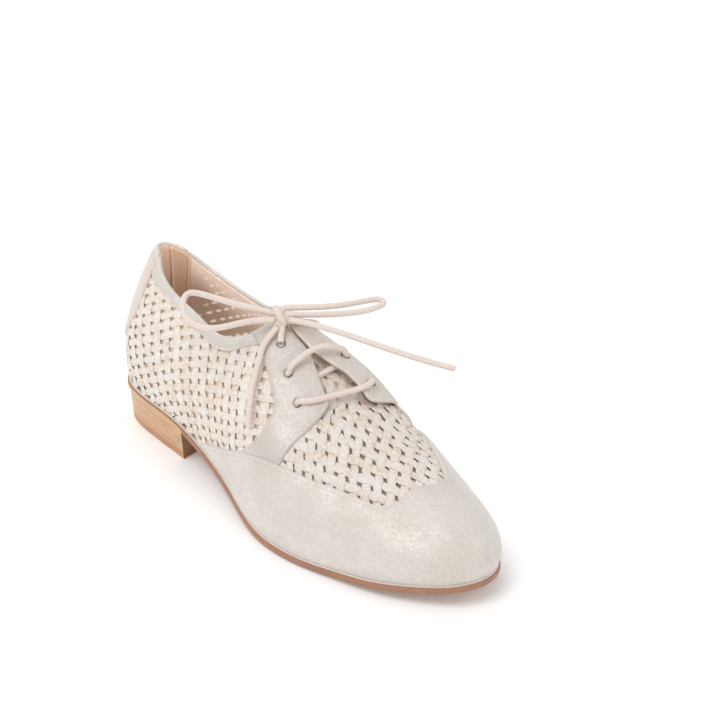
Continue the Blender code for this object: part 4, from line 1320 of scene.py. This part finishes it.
rows = np.linspace(0.0, tip, sole["rows"])
count = len(rows)
loops = []
for outset, height in sole["profile"]:
    low, high = ring(rows, outset)
    loop = np.vstack([low, high[1:-1][::-1]])
    loops.append(np.column_stack([loop, rise(np.clip(loop[:, 0], 0.0, last["toeTip"])) + height]))
size = len(loops[0])
faces = wallFaces(loops, False)
for base, turned in ((0, True), ((len(loops) - 1) * size, False)):
    for i in range(count - 1):
        right = [base + i, base + i + 1]
        left = [base + (size - k if 0 < k < count - 1 else k) for k in (i + 1, i)]
        quad = list(dict.fromkeys(right + left))
        faces.append(quad[::-1] if turned else quad)
points = np.vstack(loops)
level = np.arange(len(faces)) // size
finishOf = np.where((level >= sole["suedeFrom"]) & (level < len(loops) - 1), 1, 0)
overHeel = points[[f[0] for f in faces], 0] < heelSize["breast"]
finishOf[overHeel & (level < sole["woodBelow"])] = 2
mesh = meshFrom("outsoleEdge", points, faces, [soleEdgeLeather, champagne, heelWood], finishOf)
mesh.set_sharp_from_angle(angle=radians(sole["sharp"]))
showPiece("outsoleEdge", mesh, "sole_leather", "outsole")

rows = np.linspace(0.0, float(rowAt(heelSize["breast"])), heelSize["rows"])
across = np.linspace(0.0, 1.0, heelSize["breastRows"] + 2)[1:-1, None]
bend = np.hstack([-heelSize["hollow"] * np.sin(across * pi), across * 0.0])
levels = []
for k in range(heelSize["lifts"]):   # a fine groove between the lifts
    for part, inset in ((0.0, 1.0), (heelSize["bevel"], 0.0), (1.0 - heelSize["bevel"], 0.0)):
        levels.append(((k + part) / heelSize["lifts"], inset * heelSize["groove"] * (k > 0)))
levels.append((1.0, 0.0))
loops = []
for level, inset in levels:
    low, high = ring(rows, -heelSize["taper"] + (heelSize["taper"] + heelSize["top"]) * level - inset)
    breast = high[-1] + (low[-1] - high[-1]) * across + bend - np.array((inset, 0.0))
    loop = np.vstack([low[::-1], high[1:], breast])
    loops.append(np.column_stack([loop, (rise(np.maximum(loop[:, 0], 0.0)) - heelSize["gap"]) * level]))
size = len(loops[0])
faces = wallFaces(loops, True)
finishOf = np.append(np.arange(len(faces)) % size >= size - len(across) - 1, (False, False))
faces += [tuple(range(size)), tuple(range((len(loops) - 1) * size, len(loops) * size))[::-1]]
mesh = meshFrom("heelStack", np.vstack(loops), faces, [heelWood, shadedBreastWood], finishOf)
mesh.set_sharp_from_angle(angle=radians(heelSize["sharp"]))
showPiece("heelStack", mesh, "stacked_heel", "heel")
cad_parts["insole"].data.materials.clear()
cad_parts["insole"].data.materials.append(insoleLeather)
print("sole and heel made")

# Laces: routes in millimetres on the last
lace = {
    "radius": 1.5,
    "spacing": 0.9,            # millimetres between the points of a path
    "fine": 60,                # places read for each given point of a path
    "leastPoints": 6,
    "knotSpacing": 0.5,
    "knotPoints": 48,
    "over": (3.2, 4.0),        # middle of a lace lying on the outer and the inner facing
    # share of the way across, height of the lower and the second lace, their bow to the toe in rows
    "route": ((0.075, 3.0, 3.9, 0.065, -0.02), (0.21, 2.4, 4.3, 0.125, -0.05),
              (0.365, 1.4, 5.4, 0.143, -0.07), (0.52, 1.2, 6.6, 0.155, -0.08),
              (0.64, 2.4, 7.0, 0.174, -0.07), (0.735, 4.6, 6.6, 0.190, -0.05),
              (0.83, 5.0, 5.8, 0.150, -0.03), (0.925, 4.6, 4.8, 0.070, -0.01)),
    # row, place and height of the stretch that shows between the facings
    "strand": ((5.80, -0.200, -2.2), (5.846, -0.122, -1.5), (5.848, -0.072, -1.2), (5.849, -0.010, -0.8),
               (5.85, 0.045, -1.6)),
    "sides": 14,
    "under": (-3.0, -0.4),                     # height under an eyelet, and lean to the other side
    "through": ((-2.2, -0.2), (-0.5, 1.0)),    # in the hole and on its rim, height from the lace's own
    "knot": (116.6, -3.0, 90.6),
    "knotLong": (0.602, 0.126, -0.787),
    "knotOut": (0.713, -0.529, 0.460),
    "knotSize": (4.1, 2.9),
    "knotRadius": 1.65,
    "knotFoot": (3.2, -1.0),                   # along and out from the knot's middle
    "knotPasses": ((-1.3, -0.2), (1.2, -0.2), (2.6, -0.6)),
    "climb": (0.55, 0.4),                      # share of the way up to the knot, and hump there
    "loopLeft": ((113.3, -5.7, 91.8), (100.0, -14.6, 93.0), (83.3, -19.3, 92.0), (70.1, -23.1, 90.0),
                 (77.2, -32.0, 89.0), (92.4, -38.3, 88.0), (104.7, -32.4, 88.0), (110.4, -19.0, 89.4),
                 (116.4, -6.3, 89.4)),
    "loopRight": ((114.9, 0.4, 93.2), (125.0, 14.5, 93.4), (129.6, 25.5, 93.2), (131.3, 34.5, 92.8),
                  (132.1, 40.2, 92.4), (133.6, 43.6, 92.0), (136.2, 43.9, 91.6), (137.7, 41.2, 91.3),
                  (137.6, 36.0, 91.0), (135.8, 27.5, 91.0), (129.6, 14.6, 91.2), (117.9, 0.0, 90.8)),
    "endRight": ((121.0, -0.6, 89.4), (131.0, 4.6, 89.6), (144.2, 12.6, 88.0), (160.0, 23.8, 84.0),
                 (175.7, 35.6, 80.0), (189.8, 45.6, 77.6)),
    "endLeftTop": (119.6, -7.0, 87.0),
    "endLeft": ((5.10, -0.200), (5.14, -0.245), (5.22, -0.305), (5.32, -0.397), (5.44, -0.473),
                (5.57, -0.554)),
    "endLeftOff": 3.6,
}


def smoothPath(points, spacing=lace["spacing"]):
    points = np.asarray(points, float)
    fine = spline(points)(np.linspace(0.0, len(points) - 1.0, lace["fine"] * len(points)))
    run = lengths(fine)
    return evenly(fine, run, max(int(run[-1] / spacing), lace["leastPoints"]))


def cordLine(path):
    way = np.gradient(path, axis=0)
    up = np.cross(way, np.cross((0.0, 0.0, 1.0), way)) + np.array((1e-3, 0.0, 1e-3))
    up /= np.linalg.norm(up, axis=1)[:, None]
    return {"points": path, "up": up, "lift": np.zeros(len(path)), "swell": np.ones(len(path)),
            "along": lengths(path), "tone": np.zeros(len(path))}


def cordMesh(name, paths, radius):
    guide = guideMesh(name + "Line", [cordLine(p) for p in paths])
    return grow(name, guide, strips, {
        "Width": 2 * radius * mm, "Thickness": 2 * radius * mm, "Lift": 0.0, "Ragged": 0.0, "Fray": 0.0,
        "Sides": lace["sides"], "Material": laceCotton})


def throughEyelet(spot, toward):   # under the facing, up through the hole and over its rim
    place, normal = (found[0] for found in onLast(np.array([spot])))
    lean = (toward - place) / np.linalg.norm(toward - place)
    over = lace["over"][0 if spot[1] < 0 else 1]
    stops = [lace["under"]] + [(over + drop, shift) for drop, shift in lace["through"]]
    return [place + normal * height + lean * shift for height, shift in stops]


def barPath(k):
    spotL = np.array(pattern["eyeletsL"][k])
    spotM = np.array(pattern["eyeletsM"][k])
    ends = lay(np.array([spotL, spotM]), lace["over"])
    route = np.array(lace["route"])
    spots = spotL + np.outer(route[:, 0], spotM - spotL) + np.outer(route[:, 3 + k], (1.0, 0.0))
    middle = lay(spots, route[:, 1 + k])
    return smoothPath(throughEyelet(spotL, ends[1]) + list(middle) + throughEyelet(spotM, ends[0])[::-1])


def laceBar(name, paths):
    mesh = cordMesh(name, paths, lace["radius"])
    return showPiece(name, mesh, "lace_cotton", "lace_bar_" + name[len("laceBar"):].lower())


crossing = np.array(lace["strand"])
laceBar("laceBarLower", [barPath(0)])
laceBar("laceBarMiddle", [barPath(1), smoothPath(lay(crossing[:, :2], crossing[:, 2]))])
knotMiddle, knotLong, knotOut = (np.array(lace[key]) for key in ("knot", "knotLong", "knotOut"))


def inKnot(along, out):
    return knotMiddle + knotLong * along + knotOut * out


knotFoot = inKnot(*lace["knotFoot"])
share, hump = lace["climb"]
topPaths = []
for spot in (pattern["eyeletsL"][-1], pattern["eyeletsM"][-1]):
    rising = throughEyelet(spot, knotFoot)
    halfway = rising[-1] * (1.0 - share) + knotFoot * share + np.array((0.0, 0.0, hump))
    topPaths.append(smoothPath(rising + [halfway, knotFoot]))
laceBar("laceBarTop", topPaths)

turn = np.linspace(0.0, 2 * pi, lace["knotPoints"])[:, None]
knotPaths = [inKnot(lace["knotSize"][0] * np.cos(turn), lace["knotSize"][1] * np.sin(turn))]
knotEnds = ((lace["loopLeft"][0], lace["loopRight"][0]), (lace["loopLeft"][-1], lace["loopRight"][-1]),
            (lace["endLeftTop"], lace["endRight"][0]))
for (left, right), passing in zip(knotEnds, lace["knotPasses"]):
    knotPaths.append(smoothPath([left, inKnot(*passing), right], lace["knotSpacing"]))
knot = showPiece("laceKnot", cordMesh("laceKnot", knotPaths, lace["knotRadius"]), "lace_cotton", "lace_knot")
endLeft = np.vstack([lace["endLeftTop"], lay(np.array(lace["endLeft"]), lace["endLeftOff"])])
cordPaths = {
    "laceLoopLeft": (smoothPath(lace["loopLeft"]), "lace_loop_left", "knot"),
    "laceLoopRight": (smoothPath(lace["loopRight"]), "lace_loop_right", "knot"),
    "laceEndLeft": (smoothPath(endLeft), "lace_end_left", "bare"),
    "laceEndRight": (smoothPath(lace["endRight"]), "lace_end_right", "bare"),
}
for name, (path, node, end) in cordPaths.items():
    made = showPiece(name, cordMesh(name, [path], lace["radius"]), "lace_cotton", node)

# Stitch rows beside the panel edges
stitch = {"pitch": 2.3, "length": 1.7, "width": 0.5, "height": 0.42, "sink": 0.05,
          "in": 2.0, "laceEdgeIn": 2.2, "collarIn": 1.8}


def beside(kind, line, shift, toFlat=flat, toPattern=unflat, toSpots=same):   # a row along a pattern line
    here = toFlat(np.asarray(line, float))
    way = np.gradient(here, axis=0)
    way /= np.maximum(np.linalg.norm(way, axis=1), 1e-9)[:, None]
    spots = toSpots(toPattern(here + np.column_stack([-way[:, 1], way[:, 0]]) * shift))
    place, normal = onLast(spots)
    high = heights(spots, panelSize[kind])[0] - stitch["sink"]
    return {"points": place + normal * high[:, None], "up": normal}


rows = [beside("toeCap", wing["L"][3:], -stitch["in"]), beside("toeCap", wing["M"][:-3], -stitch["in"])]
for mark, side in marks.items():
    rows += [beside("facing" + mark, laceEdge[mark], side * stitch["laceEdgeIn"]),
             beside("facing" + mark, frontLine(mark), side * stitch["in"]),
             beside("facing" + mark, facingBack[mark][1:], side * stitch["in"])]
for mark, side in marks.items():
    rows.append(beside("collar" + mark, collarLow[mark][3:-1], -side * stitch["collarIn"]))
rows += [beside("strap", strapSide[:-1], stitch["in"], **strapMaps),
         beside("strap", strapSideM[:-1], -stitch["in"], **strapMaps)]
mesh = grow("stitchRows", guideMesh("stitchLines", rows), stitches, {
    "Pitch": stitch["pitch"] * mm, "Length": stitch["length"] * mm, "Width": stitch["width"] * mm,
    "Height": stitch["height"] * mm, "Material": thread})
showPiece("stitchRows", mesh, "lace_cotton")
print("stitches made:", len(mesh.polygons), "faces")

# Camera and light
view = {"eye": (1.21442, -0.8680, 0.8450), "aim": (0.00282, 0.0319, 0.0627), "lens": 176.9,
        "sensor": 36.0, "far": 60.0}
camera = bpy.data.objects.new("camera", bpy.data.cameras.new("camera"))
camera.data.lens = view["lens"]
camera.data.sensor_width = view["sensor"]
camera.data.clip_end = view["far"]
camera.location = view["eye"]
camera.rotation_euler = (Vector(view["aim"]) - Vector(view["eye"])).to_track_quat("-Z", "Y").to_euler()
scene.collection.objects.link(camera)
scene.camera = camera
scene.view_settings.view_transform = "Standard"

studio = {
    "world": 0.62,
    "floor": 0.93,
    "floorReach": 12.0,
    "floorLow": -0.0002,
    "glow": 0.14,
    "key": ((0.1, -1.1, 1.7), 1.5, 16.0),      # place, size, watts
    "fill": ((1.6, 0.9, 1.2), 1.6, 7.0),
    "back": ((-1.5, 0.6, 1.4), 1.5, 8.0),
}
world = bpy.data.worlds.new("studio")
world.use_nodes = True
world.node_tree.nodes["Background"].inputs["Color"].default_value = grey(1.0)
world.node_tree.nodes["Background"].inputs["Strength"].default_value = studio["world"]
scene.world = world
for name in ("key", "fill", "back"):
    place, size, watts = studio[name]
    lamp = bpy.data.objects.new(name, bpy.data.lights.new(name, "AREA"))
    lamp.data.shape = "DISK"
    lamp.data.size = size
    lamp.data.energy = watts
    lamp.location = place
    lamp.rotation_euler = (-Vector(place)).to_track_quat("-Z", "Y").to_euler()
    scene.collection.objects.link(lamp)
floorMesh = bpy.data.meshes.new("floor")
reach, low = studio["floorReach"], studio["floorLow"]
corners = [(-reach, -reach, low), (reach, -reach, low), (reach, reach, low), (-reach, reach, low)]
floorMesh.from_pydata(corners, [], [(0, 1, 2, 3)])
paper = Finish("paper", Roughness=0.9, Emission_Strength=studio["glow"], Emission_Color=grey(1.0),
               Base_Color=grey(studio["floor"]))
floorMesh.materials.append(paper.material)
floor = bpy.data.objects.new("floor", floorMesh)
scene.collection.objects.link(floor)
print("camera and light set")
